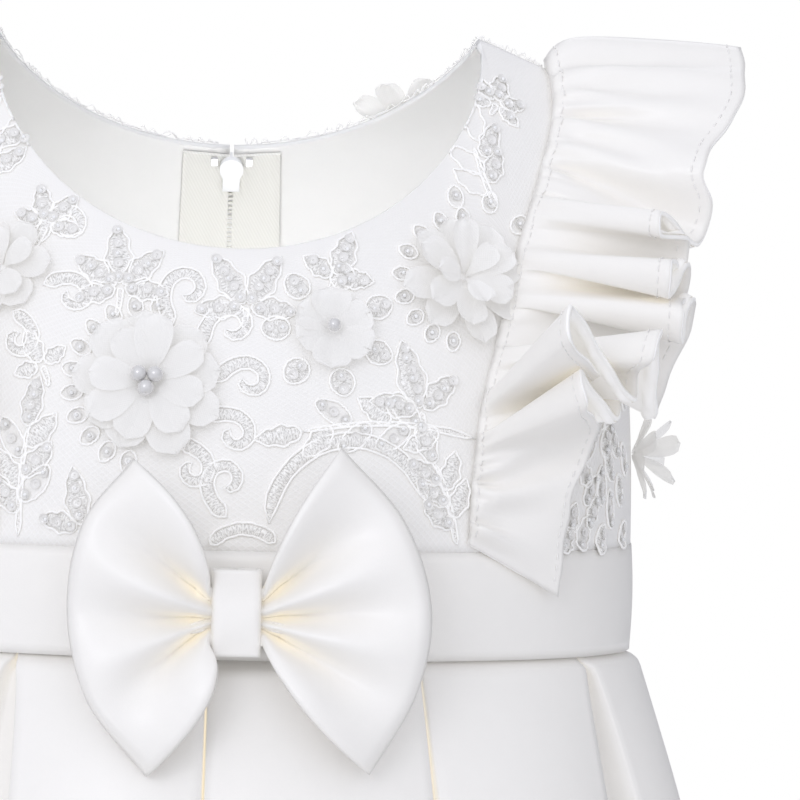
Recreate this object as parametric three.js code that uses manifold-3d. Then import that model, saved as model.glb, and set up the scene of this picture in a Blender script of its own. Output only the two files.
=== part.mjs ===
// A toddler's christening gown in its worn, hollow form: a lace-trimmed bodice with flutter sleeves,
// a satin waistband with a flat bow, a box-pleated skirt and a concealed zip at the centre back.
// Millimetres, +Z up. The front faces -Y and the wearer's left side is +X.
// The origin is midway between the shoulders, at the height of the shoulder seams at the neck.
import * as THREE from "three";
import Module from "manifold-3d";
import { mergeVertices } from "three/addons/utils/BufferGeometryUtils.js";

const wasm = await Module();
wasm.setup();
const { degToRad, clamp, lerp } = THREE.MathUtils;

// Driving dimensions
const SEAM_GAP = 0.3; // clear space between two pieces at a seam
const BODICE_WALL = 1.6; // satin, lining and lace tulle together
const SKIRT_WALL = 1.4;
const RUFFLE_WALL = 1.0;
const TAPE_WALL = 1.0;
const BOW_WALL = 2.4; // a turned double layer of satin
const FRONT_NECK = { drop: 51, curve: 0.75 }; // a smaller curve makes a squarer neckline
const BACK_NECK = { drop: 28, curve: 1.05 };
const UNDERARM_DROP = 74;
const WAIST_TOP = 122; // where the bodice meets the waistband
const WAIST_SEAM = 148; // where the waistband meets the skirt
const SKIRT_LENGTH = 370;
const NECK_TURN = degToRad(45.6); // half of the neckline, round the figure
const TIP_TURN = degToRad(66); // outer end of the shoulder seam
const QUARTER = Math.PI / 2;
const CENTRE_SLIT = 1.2; // open line of the zip at the centre back
const SHOULDER_FALL = 7; // drop of the shoulder seam from the neck to its tip
const SHOULDER_NECK_X = 58.5;
const SHOULDER_TIP_X = 75;
const SHOULDER_FADE = 30; // depth over which that slope dies out
const SEAM_TURN = 12; // depth over which the wall turns from the shoulder seam's cut to its own normal

// Half-sizes of the general figure at each drop below the shoulder
const FIGURE = [
  { drop: 0, halfWidth: 82, front: 0.6, back: 0.6 },
  { drop: 1, halfWidth: 82.6, front: 7, back: 8 },
  { drop: 5, halfWidth: 84.5, front: 16, back: 19 },
  { drop: 14, halfWidth: 87, front: 28, back: 33 },
  { drop: 27, halfWidth: 89.5, front: 40, back: 46 },
  { drop: 51, halfWidth: 93.5, front: 55, back: 59 },
  { drop: 76, halfWidth: 96.5, front: 66, back: 66 },
  { drop: 100, halfWidth: 98, front: 73, back: 70 },
  { drop: 122, halfWidth: 98.4, front: 76, back: 73 },
  { drop: 148, halfWidth: 98.4, front: 78, back: 75 },
  { drop: 170, halfWidth: 98.4, front: 78, back: 75 },
];

// Half-sizes of the skirt at each length below the waist seam, and how deep its pleats are there
const SKIRT = [
  { below: 0, halfWidth: 99.9, front: 79.3, back: 76.3, pleatDepth: 4, swell: 0 },
  { below: 4, halfWidth: 101.6, front: 80.8, back: 77.6, pleatDepth: 4.6, swell: 0.4 },
  { below: 36, halfWidth: 111.6, front: 88.5, back: 86, pleatDepth: 9, swell: 1.6 },
  { below: 120, halfWidth: 135, front: 108, back: 106, pleatDepth: 15, swell: 3 },
  { below: 240, halfWidth: 165, front: 136, back: 135, pleatDepth: 19, swell: 4 },
  { below: 370, halfWidth: 195, front: 163, back: 163, pleatDepth: 21, swell: 4 },
];
const SKIRT_ROWS = [0, 5, 18, 40, 110, 235, 370];

// Inverted pleats round the waist: place in degrees from the centre front, half of the mouth at the hem,
// and how late the mouth opens on the way down
const PLEATS = [
  { turn: -152, hemMouth: 19, late: 0.7 },
  { turn: -121, hemMouth: 21, late: 0.6 },
  { turn: -90, hemMouth: 19, late: 0.6 },
  { turn: -60, hemMouth: 21, late: 0.55 },
  { turn: -31.4, hemMouth: 21, late: 0.55 },
  { turn: -3.3, hemMouth: 13, late: 2.2 },
  { turn: 26.6, hemMouth: 15, late: 1.5 },
  { turn: 59.8, hemMouth: 22, late: 0.55 },
  { turn: 90, hemMouth: 19, late: 0.6 },
  { turn: 121, hemMouth: 21, late: 0.6 },
  { turn: 152, hemMouth: 19, late: 0.7 },
];
const PLEAT_MOUTH = 0.5; // half of a pleat's mouth at the waist seam
// Section of a pleat: place across in half-mouths, further place aside on the flat panel, and share of the
// pleat's depth
const PLEAT_SECTION = [
  { across: -1, aside: -2.8, depth: 0 },
  { across: -1, aside: 0, depth: 0.06 },
  { across: -0.72, aside: 0, depth: 0.85 },
  { across: 0, aside: 0, depth: 1 },
  { across: 0.72, aside: 0, depth: 0.85 },
  { across: 1, aside: 0, depth: 0.06 },
  { across: 1, aside: 2.8, depth: 0 },
];
const PANEL_STEPS = 3; // columns of the flat panel between two pleats

// Seam of a flutter sleeve on the front: place round the figure at each drop, mirrored on the back
const RUFFLE_SEAM = [
  { drop: 0, turn: 64 },
  { drop: 14, turn: 60 },
  { drop: 27, turn: 54.5 },
  { drop: 48, turn: 46 },
  { drop: 63, turn: 42 },
  { drop: 87, turn: 36.6 },
  { drop: 105, turn: 34.8 },
  { drop: 120, turn: 34.3 },
];
// Crests and hollows of the sleeve's free edge, from the front waist over the shoulder to the back waist:
// the drop where that fold starts on the seam, and the edge's place
const RUFFLE_EDGE = [
  { root: -120, x: 78.7, y: -52, z: -133 },
  { root: -113, x: 79.4, y: -56, z: -118 },
  { root: -106, x: 81.6, y: -60, z: -106 },
  { root: -101, x: 86.2, y: -60, z: -93.4 },
  { root: -96.5, x: 81, y: -87, z: -81 },
  { root: -92, x: 90.5, y: -65, z: -86 },
  { root: -87, x: 77, y: -97, z: -65.3 },
  { root: -81, x: 95, y: -65, z: -81.4 },
  { root: -75.5, x: 98.6, y: -79, z: -71 },
  { root: -70.5, x: 101.5, y: -50, z: -87 },
  { root: -66, x: 109, y: -50, z: -64 },
  { root: -62, x: 105.5, y: -66, z: -67 },
  { root: -57.5, x: 108, y: -48, z: -56 },
  { root: -52.5, x: 102.5, y: -66, z: -56 },
  { root: -46.5, x: 108, y: -44, z: -50.5 },
  { root: -40, x: 100.6, y: -57, z: -42.7 },
  { root: -32, x: 113, y: -37, z: -43 },
  { root: -24, x: 111.5, y: -36, z: -30 },
  { root: -13, x: 121.5, y: -20, z: -14.5 },
  { root: 0, x: 123, y: 0, z: 0.8 },
  { root: 13, x: 120, y: 21, z: -16 },
  { root: 26, x: 113, y: 38, z: -30 },
  { root: 40, x: 109, y: 44, z: -52 },
  { root: 52, x: 104, y: 68, z: -50 },
  { root: 63, x: 106, y: 57, z: -76 },
  { root: 74, x: 93, y: 86, z: -68 },
  { root: 86, x: 97, y: 63, z: -92 },
  { root: 97, x: 84, y: 88, z: -92 },
  { root: 108, x: 86, y: 63, z: -114 },
  { root: 120, x: 79, y: 56, z: -133 },
];
const CREST_ROUND = 2; // half-width of a crest at the free edge
const HOLLOW_ROUND = 1.1;
const SHOULDER_ROOM = 0.5; // further room under the sleeve where it bends over the shoulder
const SHARP_TURN = degToRad(75); // an edge that turns less than this needs no rounding
const RUFFLE_STEPS = 2; // sections between two points of the rounded edge
const RUFFLE_ACROSS = [0, 0.12, 0.5, 1];

// The bow, seen from the front: each row is one ray of cloth from the knot to the rim. Places are from the
// knot's middle, and rise is how far the rim stands off the waistband.
const BOW_LEFT_RAYS = [
  { startZ: -7.6, midX: -5.6, midZ: -17.5, endX: -20.5, endZ: -39, rise: 17 },
  { startZ: -4.4, midX: -20, midZ: -14, endX: -35, endZ: -21, rise: 16 },
  { startZ: -1, midX: -22, midZ: 0, endX: -40, endZ: 0.5, rise: 13 },
  { startZ: 2.4, midX: -20, midZ: 13, endX: -36.5, endZ: 21, rise: 13 },
  { startZ: 6, midX: -7.4, midZ: 23, endX: -25, endZ: 36, rise: 11 },
];
const BOW_RIGHT_RAYS = [
  { startZ: -7.6, midX: 13, midZ: -22, endX: 32.2, endZ: -37.5, rise: 18 },
  { startZ: -4.4, midX: 22, midZ: -13, endX: 43, endZ: -18, rise: 17 },
  { startZ: -1, midX: 23, midZ: 1, endX: 46, endZ: 1.5, rise: 14 },
  { startZ: 2.4, midX: 20, midZ: 14, endX: 39.5, endZ: 22, rise: 13 },
  { startZ: 6, midX: 9.5, midZ: 22, endX: 24, endZ: 39.5, rise: 11 },
];
const BOW_CENTRE = { x: 0.7, z: -136 };
const BOW_FOLDS = 4; // lobes of cloth across each half
const BOW_FOLD_DEPTH = 4.2;
const BOW_PUFF = 8; // how far a lobe stands out halfway to the rim
const BOW_ALONG = 11;
const BOW_ACROSS = 16;
const KNOT = { width: 12, height: 20.5, depth: 9.4, wall: 1.6, corner: 2.2 };
const KNOT_STAND_OFF = 1.4; // from the waistband, which slopes a little behind the knot
const BOW_START_X = 0.5; // half of the gap between the two halves inside the knot

// Zip, in a frame on the centre back
const ZIP_BELOW_WAIST = 50;
const SLIDER_DROP = 33;
const SLIDER = { width: 5.8, waist: 4.2, length: 9.4, wall: 1.6, neck: 0.6, neckLength: 3.4 };
const BAIL = { length: 4, depth: 3, bar: 0.8 };
const PULL = { length: 17, width: 6, wall: 1, window: 2.4, bar: 1 };
const STOP = { x: 4.3, up: 3.4, width: 1.5, length: 2, wall: 1 };

// Cloth flowers: place on the figure in degrees and drop, radius, petals of each tier, and pearls
const FLOWERS = [
  { name: "flower_front_large", turn: -12.4, drop: 83, radius: 17, outer: 7, inner: 5, pearls: 3 },
  { name: "flower_front_small", turn: 13.5, drop: 69.5, radius: 9, outer: 5, inner: 0, pearls: 1 },
  { name: "flower_front_right", turn: -36.5, drop: 57, radius: 10.5, outer: 6, inner: 4, pearls: 0 },
  { name: "flower_front_left", turn: 35, drop: 57, radius: 10.5, outer: 6, inner: 4, pearls: 0 },
  { name: "flower_side_left", turn: 93, drop: 100, radius: 10, outer: 5, inner: 0, pearls: 1 },
  { name: "flower_side_right", turn: -93, drop: 100, radius: 10, outer: 5, inner: 0, pearls: 1 },
  { name: "flower_back_left", turn: 151, drop: 22.5, radius: 9, outer: 5, inner: 0, pearls: 1 },
  { name: "flower_back_right", turn: -157, drop: 52, radius: 9, outer: 5, inner: 0, pearls: 1 },
];
const PETAL_WALL = 0.9;
const PEARL_RADIUS = 2;

// Corded lace sprays: place, heading of the stem, its length and bend, pairs of leaves and a leaf's length
const SPRAYS = [
  { name: "lace_neck_right", turn: -22, drop: 58, heading: -18, stem: 26, bend: 20, pairs: 3, leaf: 11 },
  { name: "lace_neck_left", turn: 6, drop: 57, heading: 22, stem: 24, bend: -16, pairs: 3, leaf: 11 },
  { name: "lace_branch_left", turn: 10, drop: 98, heading: 28, stem: 34, bend: 30, pairs: 3, leaf: 12 },
  { name: "lace_branch_right", turn: -26, drop: 104, heading: 100, stem: 20, bend: 30, pairs: 2, leaf: 11 },
  { name: "lace_waist_centre", turn: -3, drop: 104, heading: -60, stem: 18, bend: 60, pairs: 2, leaf: 9 },
  { name: "lace_side_left", turn: 72, drop: 116, heading: 78, stem: 22, bend: 24, pairs: 2, leaf: 10 },
  { name: "lace_side_right", turn: -72, drop: 116, heading: 102, stem: 22, bend: -24, pairs: 2, leaf: 10 },
  { name: "lace_back_left", turn: 158, drop: 104, heading: 84, stem: 46, bend: 30, pairs: 4, leaf: 12 },
  { name: "lace_back_right", turn: -158, drop: 104, heading: 96, stem: 34, bend: -30, pairs: 3, leaf: 12 },
];
const LACE_RAISE = 1.1; // how far a leaf stands off the panel
const STEM_HALF = 0.9;

// Finishes
const SATIN = new THREE.MeshStandardMaterial({ color: 0xf4f3f4, roughness: 0.42, metalness: 0 });
const LACE_PANEL = new THREE.MeshStandardMaterial({ color: 0xf1f0ee, roughness: 0.7, metalness: 0 });
const LACE_CORD = new THREE.MeshStandardMaterial({ color: 0xfafafa, roughness: 0.45, metalness: 0 });
const CHIFFON = new THREE.MeshStandardMaterial({ color: 0xf8f8f9, roughness: 0.75, metalness: 0 });
const TAPE = new THREE.MeshStandardMaterial({ color: 0xf3f2e8, roughness: 0.85, metalness: 0 });
const PAINTED_METAL = new THREE.MeshStandardMaterial({ color: 0xe6e6e4, roughness: 0.35, metalness: 0.2 });
const BRIGHT_METAL = new THREE.MeshStandardMaterial({ color: 0xb9bbc0, roughness: 0.2, metalness: 1 });

const gown = new THREE.Group();

function addPiece(name, geometry, material, parent = gown) {
  const piece = new THREE.Mesh(geometry, material);
  piece.name = name;
  parent.add(piece);
  return piece;
}

// Smooth value of one column of a table, whose key column runs upwards.
function valueAt(table, key, column, place) {
  const last = table.length - 1;
  let row = 0;
  while (row < last - 1 && place > table[row + 1][key]) row += 1;
  const slope = (k) => {
    const before = table[Math.max(k - 1, 0)];
    const after = table[Math.min(k + 1, last)];
    return (after[column] - before[column]) / (after[key] - before[key]);
  };
  const span = table[row + 1][key] - table[row][key];
  const q = clamp((place - table[row][key]) / span, 0, 1);
  const low = table[row][column];
  const high = table[row + 1][column];
  const ease = q * q * (3 - 2 * q);
  const bend = q * (1 - q) * span;
  return lerp(low, high, ease) + bend * ((1 - q) * slope(row) - q * slope(row + 1));
}

// Surface of the general figure. turn is 0 at the centre front and half a turn at the centre back.
function figurePoint(turn, drop) {
  const depth = Math.cos(turn) > 0 ? "front" : "back";
  const x = valueAt(FIGURE, "drop", "halfWidth", drop) * Math.sin(turn);
  const y = -valueAt(FIGURE, "drop", depth, drop) * Math.cos(turn);
  return new THREE.Vector3(x, y, -drop - shoulderFall(x, drop));
}

// How much lower the figure is than its drop, out along the shoulder.
function shoulderFall(x, drop) {
  const outside = Math.max(0, Math.abs(x) - SHOULDER_NECK_X) / (SHOULDER_TIP_X - SHOULDER_NECK_X);
  return SHOULDER_FALL * outside * Math.exp(-drop / SHOULDER_FADE);
}

// Outward normal of a surface given as pointAt(turn, down).
function normalOf(pointAt, turn, down) {
  const turnStep = 0.004;
  const downStep = 0.4;
  const across = pointAt(turn + turnStep, down).sub(pointAt(turn - turnStep, down));
  const below = pointAt(turn, down + downStep).sub(pointAt(turn, down - downStep));
  return below.cross(across).normalize();
}

function figureNormal(turn, drop) {
  return normalOf(figurePoint, turn, Math.max(drop, 0.5));
}

function onFigure(turn, drop, standOff) {
  return figurePoint(turn, drop).addScaledVector(figureNormal(turn, drop), standOff);
}

// A closed wall between two faces, each given on the same grid of columns and rows.
function wallBetween(columns, rows, outerAt, innerAt) {
  const positions = [];
  for (const face of [outerAt, innerAt]) {
    for (let i = 0; i <= columns; i += 1) {
      for (let j = 0; j <= rows; j += 1) positions.push(...face(i, j).toArray());
    }
  }
  const at = (face, i, j) => (face * (columns + 1) + i) * (rows + 1) + j;
  const index = [];
  const quad = (a, b, c, d) => index.push(a, b, c, a, c, d);
  for (let i = 0; i < columns; i += 1) {
    for (let j = 0; j < rows; j += 1) {
      quad(at(0, i, j), at(0, i, j + 1), at(0, i + 1, j + 1), at(0, i + 1, j));
      quad(at(1, i, j), at(1, i + 1, j), at(1, i + 1, j + 1), at(1, i, j + 1));
    }
    quad(at(0, i, 0), at(0, i + 1, 0), at(1, i + 1, 0), at(1, i, 0));
    quad(at(0, i + 1, rows), at(0, i, rows), at(1, i, rows), at(1, i + 1, rows));
  }
  for (let j = 0; j < rows; j += 1) {
    quad(at(0, 0, j + 1), at(0, 0, j), at(1, 0, j), at(1, 0, j + 1));
    quad(at(0, columns, j), at(0, columns, j + 1), at(1, columns, j + 1), at(1, columns, j));
  }
  if (signedVolume(positions, index) < 0) index.reverse();
  return new THREE.BufferGeometry()
    .setAttribute("position", new THREE.Float32BufferAttribute(positions, 3))
    .setIndex(index);
}

// Volume inside a closed surface, which is below zero when its triangles face inwards.
function signedVolume(positions, index) {
  const corner = (k) => new THREE.Vector3().fromArray(positions, 3 * index[k]);
  let sum = 0;
  for (let k = 0; k < index.length; k += 3) sum += corner(k).dot(corner(k + 1).cross(corner(k + 2))) / 6;
  return sum;
}

// A wall of even thickness under a grid of outer points, with the normals of the grid itself.
function wallUnder(grid, thickness) {
  const columns = grid.length - 1;
  const rows = grid[0].length - 1;
  const normalAt = (i, j) => {
    const across = grid[Math.min(i + 1, columns)][j].clone().sub(grid[Math.max(i - 1, 0)][j]);
    const down = grid[i][Math.min(j + 1, rows)].clone().sub(grid[i][Math.max(j - 1, 0)]);
    return down.cross(across).normalize();
  };
  const innerAt = (i, j) => grid[i][j].clone().addScaledVector(normalAt(i, j), -thickness);
  return wallBetween(columns, rows, (i, j) => grid[i][j], innerAt);
}

function solidOf(geometry) {
  const bare = geometry.clone();
  bare.deleteAttribute("normal");
  bare.deleteAttribute("uv");
  const merged = mergeVertices(bare, 1e-4);
  const vertProperties = merged.attributes.position.array;
  const triVerts = new Uint32Array(merged.index.array);
  return new wasm.Manifold(new wasm.Mesh({ numProp: 3, vertProperties, triVerts }));
}

function geometryOf(solid) {
  const mesh = solid.getMesh();
  return new THREE.BufferGeometry()
    .setAttribute("position", new THREE.BufferAttribute(mesh.vertProperties, 3))
    .setIndex(new THREE.BufferAttribute(mesh.triVerts, 1));
}

// Joins pieces into one body, without the small hollows that are closed in between them.
function joined(geometries) {
  const solids = geometries.map(solidOf);
  const sum = solids.slice(1).reduce((whole, solid) => whole.add(solid), solids[0]);
  const shells = sum.decompose().sort((a, b) => b.volume() - a.volume());
  return geometryOf(shells[0]);
}

// Bodice

// Drop of a panel's top edge: neckline, then shoulder seam, then armhole. side is the turn from the
// centre front or centre back.
function topEdge(side, neck) {
  if (side <= NECK_TURN) return neck.drop * (1 - (side / NECK_TURN) ** 2) ** neck.curve;
  if (side <= TIP_TURN) return 0;
  const across = (side - TIP_TURN) / (QUARTER - TIP_TURN);
  return UNDERARM_DROP * (1 - (1 - across) ** 1.7) ** 0.75;
}

// Columns of half a panel, from the centre to the side seam, closer together beside the shoulder.
function halfColumns(neckSteps, strapSteps, armSteps, sideGap) {
  const columns = [];
  for (let k = 0; k <= neckSteps; k += 1) columns.push(NECK_TURN * Math.sin((k / neckSteps) * QUARTER));
  for (let k = 1; k <= strapSteps; k += 1) columns.push(lerp(NECK_TURN, TIP_TURN, k / strapSteps));
  for (let k = 1; k <= armSteps; k += 1) {
    columns.push(lerp(TIP_TURN, QUARTER - sideGap, 1 - Math.cos((k / armSteps) * QUARTER)));
  }
  return columns;
}

// Drop of a place between a panel's top edge and the waistband, with the rows closer towards the top.
function panelDrop(top, share) {
  return lerp(top, WAIST_TOP - SEAM_GAP, share ** 1.5);
}

// A panel over columns of (turn, side) pairs, from its top edge down to the waistband.
function bodicePanel(columns, neck, rows) {
  const placeAt = (i, j) => {
    const top = topEdge(columns[i].side, neck);
    return { turn: columns[i].turn, drop: panelDrop(top, j / rows) };
  };
  const outerAt = (i, j) => {
    const { turn, drop } = placeAt(i, j);
    return figurePoint(turn, drop);
  };
  const innerAt = (i, j) => {
    const { turn, drop } = placeAt(i, j);
    const normal = figureNormal(turn, drop);
    normal.setY(normal.y * clamp(drop / SEAM_TURN, 0, 1)).normalize(); // cut straight down at the seam
    return figurePoint(turn, drop).addScaledVector(normal, -BODICE_WALL);
  };
  return wallBetween(columns.length - 1, rows, outerAt, innerAt);
}

const sideSeamGap = SEAM_GAP / 2 / FIGURE.at(-1).front;
const slitTurn = CENTRE_SLIT / 2 / FIGURE.at(-1).halfWidth;
const FRONT_ROWS = 10;
const BACK_ROWS = 9;
const BAND_STEPS = 12; // columns of a quarter of the waistband
const TAPE_TURN = lerp(slitTurn, QUARTER - sideSeamGap, 1 / BAND_STEPS); // a zip tape's outer edge

const frontHalf = halfColumns(6, 3, 6, sideSeamGap).map((side) => ({ turn: side, side }));
const frontColumns = [
  ...frontHalf.slice(1).reverse().map(({ side }) => ({ turn: -side, side })),
  ...frontHalf,
];
addPiece("bodice_front", bodicePanel(frontColumns, FRONT_NECK, FRONT_ROWS), LACE_PANEL);

const backHalf = [slitTurn, TAPE_TURN, ...halfColumns(5, 3, 6, sideSeamGap).slice(1)];
const backLeft = [...backHalf].reverse().map((side) => ({ turn: Math.PI - side, side }));
const backRight = backHalf.map((side) => ({ turn: Math.PI + side, side }));
addPiece("bodice_back_left", bodicePanel(backLeft, BACK_NECK, BACK_ROWS), LACE_PANEL);
addPiece("bodice_back_right", bodicePanel(backRight, BACK_NECK, BACK_ROWS), LACE_PANEL);

// Waistband

function waistband(from, to, columns) {
  const rows = 2;
  const placeAt = (i, j) => [
    lerp(from, to, i / columns),
    lerp(WAIST_TOP, WAIST_SEAM - SEAM_GAP, j / rows),
  ];
  const outerAt = (i, j) => figurePoint(...placeAt(i, j));
  const innerAt = (i, j) => onFigure(...placeAt(i, j), -BODICE_WALL);
  return wallBetween(columns, rows, outerAt, innerAt);
}

const frontEnd = QUARTER - sideSeamGap;
const backEnd = QUARTER + sideSeamGap;
addPiece("waistband_front", waistband(-frontEnd, frontEnd, 2 * BAND_STEPS), SATIN);
addPiece("waistband_back_left", waistband(backEnd, Math.PI - slitTurn, BAND_STEPS), SATIN);
addPiece("waistband_back_right", waistband(Math.PI + slitTurn, 2 * Math.PI - backEnd, BAND_STEPS), SATIN);

// Skirt

function skirtBase(turn, below) {
  const depth = Math.cos(turn) > 0 ? "front" : "back";
  const x = valueAt(SKIRT, "below", "halfWidth", below) * Math.sin(turn);
  const y = -valueAt(SKIRT, "below", depth, below) * Math.cos(turn);
  return new THREE.Vector3(x, y, -WAIST_SEAM - below);
}

function skirtPoint(turn, below, standOff) {
  return skirtBase(turn, below).addScaledVector(normalOf(skirtBase, turn, below), standOff);
}

// Turn of a point of a pleat's section.
function pleatTurn(pleat, { across, aside }, below) {
  const middle = degToRad(pleat.turn);
  const mouth = PLEAT_MOUTH + pleat.hemMouth * (below / SKIRT_LENGTH) ** pleat.late;
  const wide = valueAt(SKIRT, "below", "halfWidth", below) * Math.cos(middle);
  const deep = valueAt(SKIRT, "below", "front", below) * Math.sin(middle);
  return middle + (across * mouth + aside) / Math.hypot(wide, deep);
}

// One column of the skirt, as the place of its point at any length below the waist.
function pleatColumn(pleat, point) {
  return (below) => {
    const standOff = -point.depth * valueAt(SKIRT, "below", "pleatDepth", below);
    return { turn: pleatTurn(pleat, point, below), standOff };
  };
}

function panelColumn(fromPleat, toPleat, share) {
  return (below) => {
    const from = pleatTurn(fromPleat, PLEAT_SECTION.at(-1), below);
    let to = pleatTurn(toPleat, PLEAT_SECTION[0], below);
    if (to < from) to += 2 * Math.PI;
    const standOff = 4 * share * (1 - share) * valueAt(SKIRT, "below", "swell", below);
    return { turn: lerp(from, to, share), standOff };
  };
}

function columnsOfPleat(pleat, from = 0, to = PLEAT_SECTION.length - 1) {
  return PLEAT_SECTION.slice(from, to + 1).map((point) => pleatColumn(pleat, point));
}

function columnsOfPanel(fromPleat, toPleat, fromShare = 0, toShare = 1) {
  const columns = [];
  for (let k = 1; k < PANEL_STEPS * 2; k += 1) {
    const share = k / (PANEL_STEPS * 2);
    const inside = share > fromShare && share < toShare;
    if (inside && (k % 2 === 0 || toShare - fromShare < 1)) columns.push(panelColumn(fromPleat, toPleat, share));
  }
  return columns;
}

// Moves a column sideways by a distance, for the edges that meet at a seam.
function shifted(column, distance) {
  return (below) => {
    const place = column(below);
    const radius = valueAt(SKIRT, "below", "front", below);
    return { turn: place.turn + distance / radius, standOff: place.standOff };
  };
}

function skirtPanel(columns) {
  const grid = columns.map((column) =>
    SKIRT_ROWS.map((row) => {
      const below = row === 0 ? SEAM_GAP / 2 : row;
      const { turn, standOff } = column(below);
      return skirtPoint(turn, below, standOff);
    }),
  );
  return wallUnder(grid, SKIRT_WALL);
}

// Columns from the middle of one pleat to the middle of another, through the whole pleats between them.
function columnsBetween(first, last) {
  const middle = (PLEAT_SECTION.length - 1) / 2;
  const columns = columnsOfPleat(PLEATS[first], middle);
  for (let k = first + 1; k <= last; k += 1) {
    columns.push(...columnsOfPanel(PLEATS[k - 1], PLEATS[k]));
    columns.push(...columnsOfPleat(PLEATS[k], 0, k === last ? middle : undefined));
  }
  return columns;
}

const rightSide = PLEATS.findIndex(({ turn }) => turn === -90);
const leftSide = PLEATS.findIndex(({ turn }) => turn === 90);
const lastPleat = PLEATS.at(-1);
const firstPleat = PLEATS[0];
const centreBack = panelColumn(lastPleat, firstPleat, 0.5);
const seamShift = SEAM_GAP / 2;

function cutToSeams(columns) {
  const cut = [...columns];
  cut[0] = shifted(cut[0], seamShift);
  cut[cut.length - 1] = shifted(cut[cut.length - 1], -seamShift);
  return cut;
}

addPiece("skirt_front", skirtPanel(cutToSeams(columnsBetween(rightSide, leftSide))), SATIN);
const middleOfPleat = (PLEAT_SECTION.length - 1) / 2;
const lastIndex = PLEATS.length - 1;
const leftBackColumns = [
  ...columnsBetween(leftSide, lastIndex).slice(0, -1),
  ...columnsOfPleat(lastPleat, middleOfPleat),
  ...columnsOfPanel(lastPleat, firstPleat, 0, 0.5),
  centreBack,
];
addPiece("skirt_back_left", skirtPanel(cutToSeams(leftBackColumns)), SATIN);
const rightBackColumns = [
  centreBack,
  ...columnsOfPanel(lastPleat, firstPleat, 0.5, 1),
  ...columnsOfPleat(firstPleat, 0, middleOfPleat),
  ...columnsBetween(0, rightSide).slice(1),
];
addPiece("skirt_back_right", skirtPanel(cutToSeams(rightBackColumns)), SATIN);

// Flutter sleeves

// Place on the sleeve's seam on the wearer's left. root is the drop, below zero on the front half.
function ruffleSeam(root) {
  const drop = Math.abs(root);
  const front = degToRad(valueAt(RUFFLE_SEAM, "drop", "turn", drop));
  const turn = root > 0 ? Math.PI - front : front;
  const place = onFigure(turn, drop, SEAM_GAP + RUFFLE_WALL + SHOULDER_ROOM * Math.exp(-drop / SEAM_TURN));
  return drop < 1 ? place.setY(place.y * drop) : place;
}

// Moves a point out of the figure so that it keeps a clearance from the panels.
function clearOfFigure(point, clearance) {
  const drop = -point.z - shoulderFall(point.x, -point.z);
  if (drop < 3) return point;
  const depth = point.y < 0 ? "front" : "back";
  const wide = valueAt(FIGURE, "drop", "halfWidth", drop) + clearance;
  const deep = valueAt(FIGURE, "drop", depth, drop) + clearance;
  const inside = Math.hypot(point.x / wide, point.y / deep);
  if (inside >= 1) return point;
  return new THREE.Vector3(point.x / inside, point.y / inside, point.z);
}

// Rounds each crest and hollow: two points in place of one, to either side of the fold's own line.
function roundedFolds(rows) {
  return rows.flatMap((row, k) => {
    if (k === 0 || k === rows.length - 1) return [{ root: row.root, place: placeOf(row) }];
    const before = rows[k - 1];
    const after = rows[k + 1];
    const turn = placeOf(row).sub(placeOf(before)).angleTo(placeOf(after).sub(placeOf(row)));
    if (turn < SHARP_TURN) return [{ root: row.root, place: placeOf(row) }];
    const line = placeOf(row).sub(placeOf(before).lerp(placeOf(after), 0.5));
    const ruling = placeOf(row).sub(ruffleSeam(row.root));
    const along = ruling.cross(line);
    if (along.dot(placeOf(after).sub(placeOf(before))) < 0) along.negate();
    const isCrest = line.x * row.x + line.y * row.y > 0;
    along.setLength(isCrest ? CREST_ROUND : HOLLOW_ROUND);
    return [
      { root: lerp(row.root, before.root, 0.25), place: placeOf(row).sub(along) },
      { root: lerp(row.root, after.root, 0.25), place: placeOf(row).add(along) },
    ];
  });
}

function placeOf({ x, y, z }) {
  return new THREE.Vector3(x, y, z);
}

function ruffle() {
  const rows = roundedFolds(RUFFLE_EDGE).map((row, order) => ({ ...row, order }));
  const edge = new THREE.CatmullRomCurve3(rows.map(({ place }) => place), false, "centripetal");
  const sections = (rows.length - 1) * RUFFLE_STEPS;
  const grid = [];
  for (let i = 0; i <= sections; i += 1) {
    const root = ruffleSeam(valueAt(rows, "order", "root", i / RUFFLE_STEPS));
    const tip = edge.getPoint(i / sections);
    const section = RUFFLE_ACROSS.map((across) => {
      const point = root.clone().lerp(tip, across);
      return clearOfFigure(point, SEAM_GAP + RUFFLE_WALL + 2 * across);
    });
    grid.push(section);
  }
  return wallUnder(grid, RUFFLE_WALL);
}

// The same wall for the wearer's other side.
function mirrored(geometry) {
  const other = geometry.clone().scale(-1, 1, 1);
  const corners = other.index.array;
  for (let k = 0; k < corners.length; k += 3) [corners[k + 1], corners[k + 2]] = [corners[k + 2], corners[k + 1]];
  return other;
}

const leftRuffle = ruffle();
addPiece("ruffle_left", leftRuffle, SATIN);
addPiece("ruffle_right", mirrored(leftRuffle), SATIN);

// Bow

const bandFront = valueAt(FIGURE, "drop", "front", -BOW_CENTRE.z);

// Place on a ray of the bow, seen from the front: level inside the knot, then out to the rim.
function rayPlace(ray, side, share) {
  const start = new THREE.Vector2(side * (KNOT.width / 2 + SEAM_GAP), ray.startZ);
  if (share < 0) return new THREE.Vector2(side * BOW_START_X, ray.startZ);
  const mid = new THREE.Vector2(ray.midX, ray.midZ);
  const end = new THREE.Vector2(ray.endX, ray.endZ);
  return new THREE.QuadraticBezierCurve(start, mid, end).getPoint(share);
}

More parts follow.
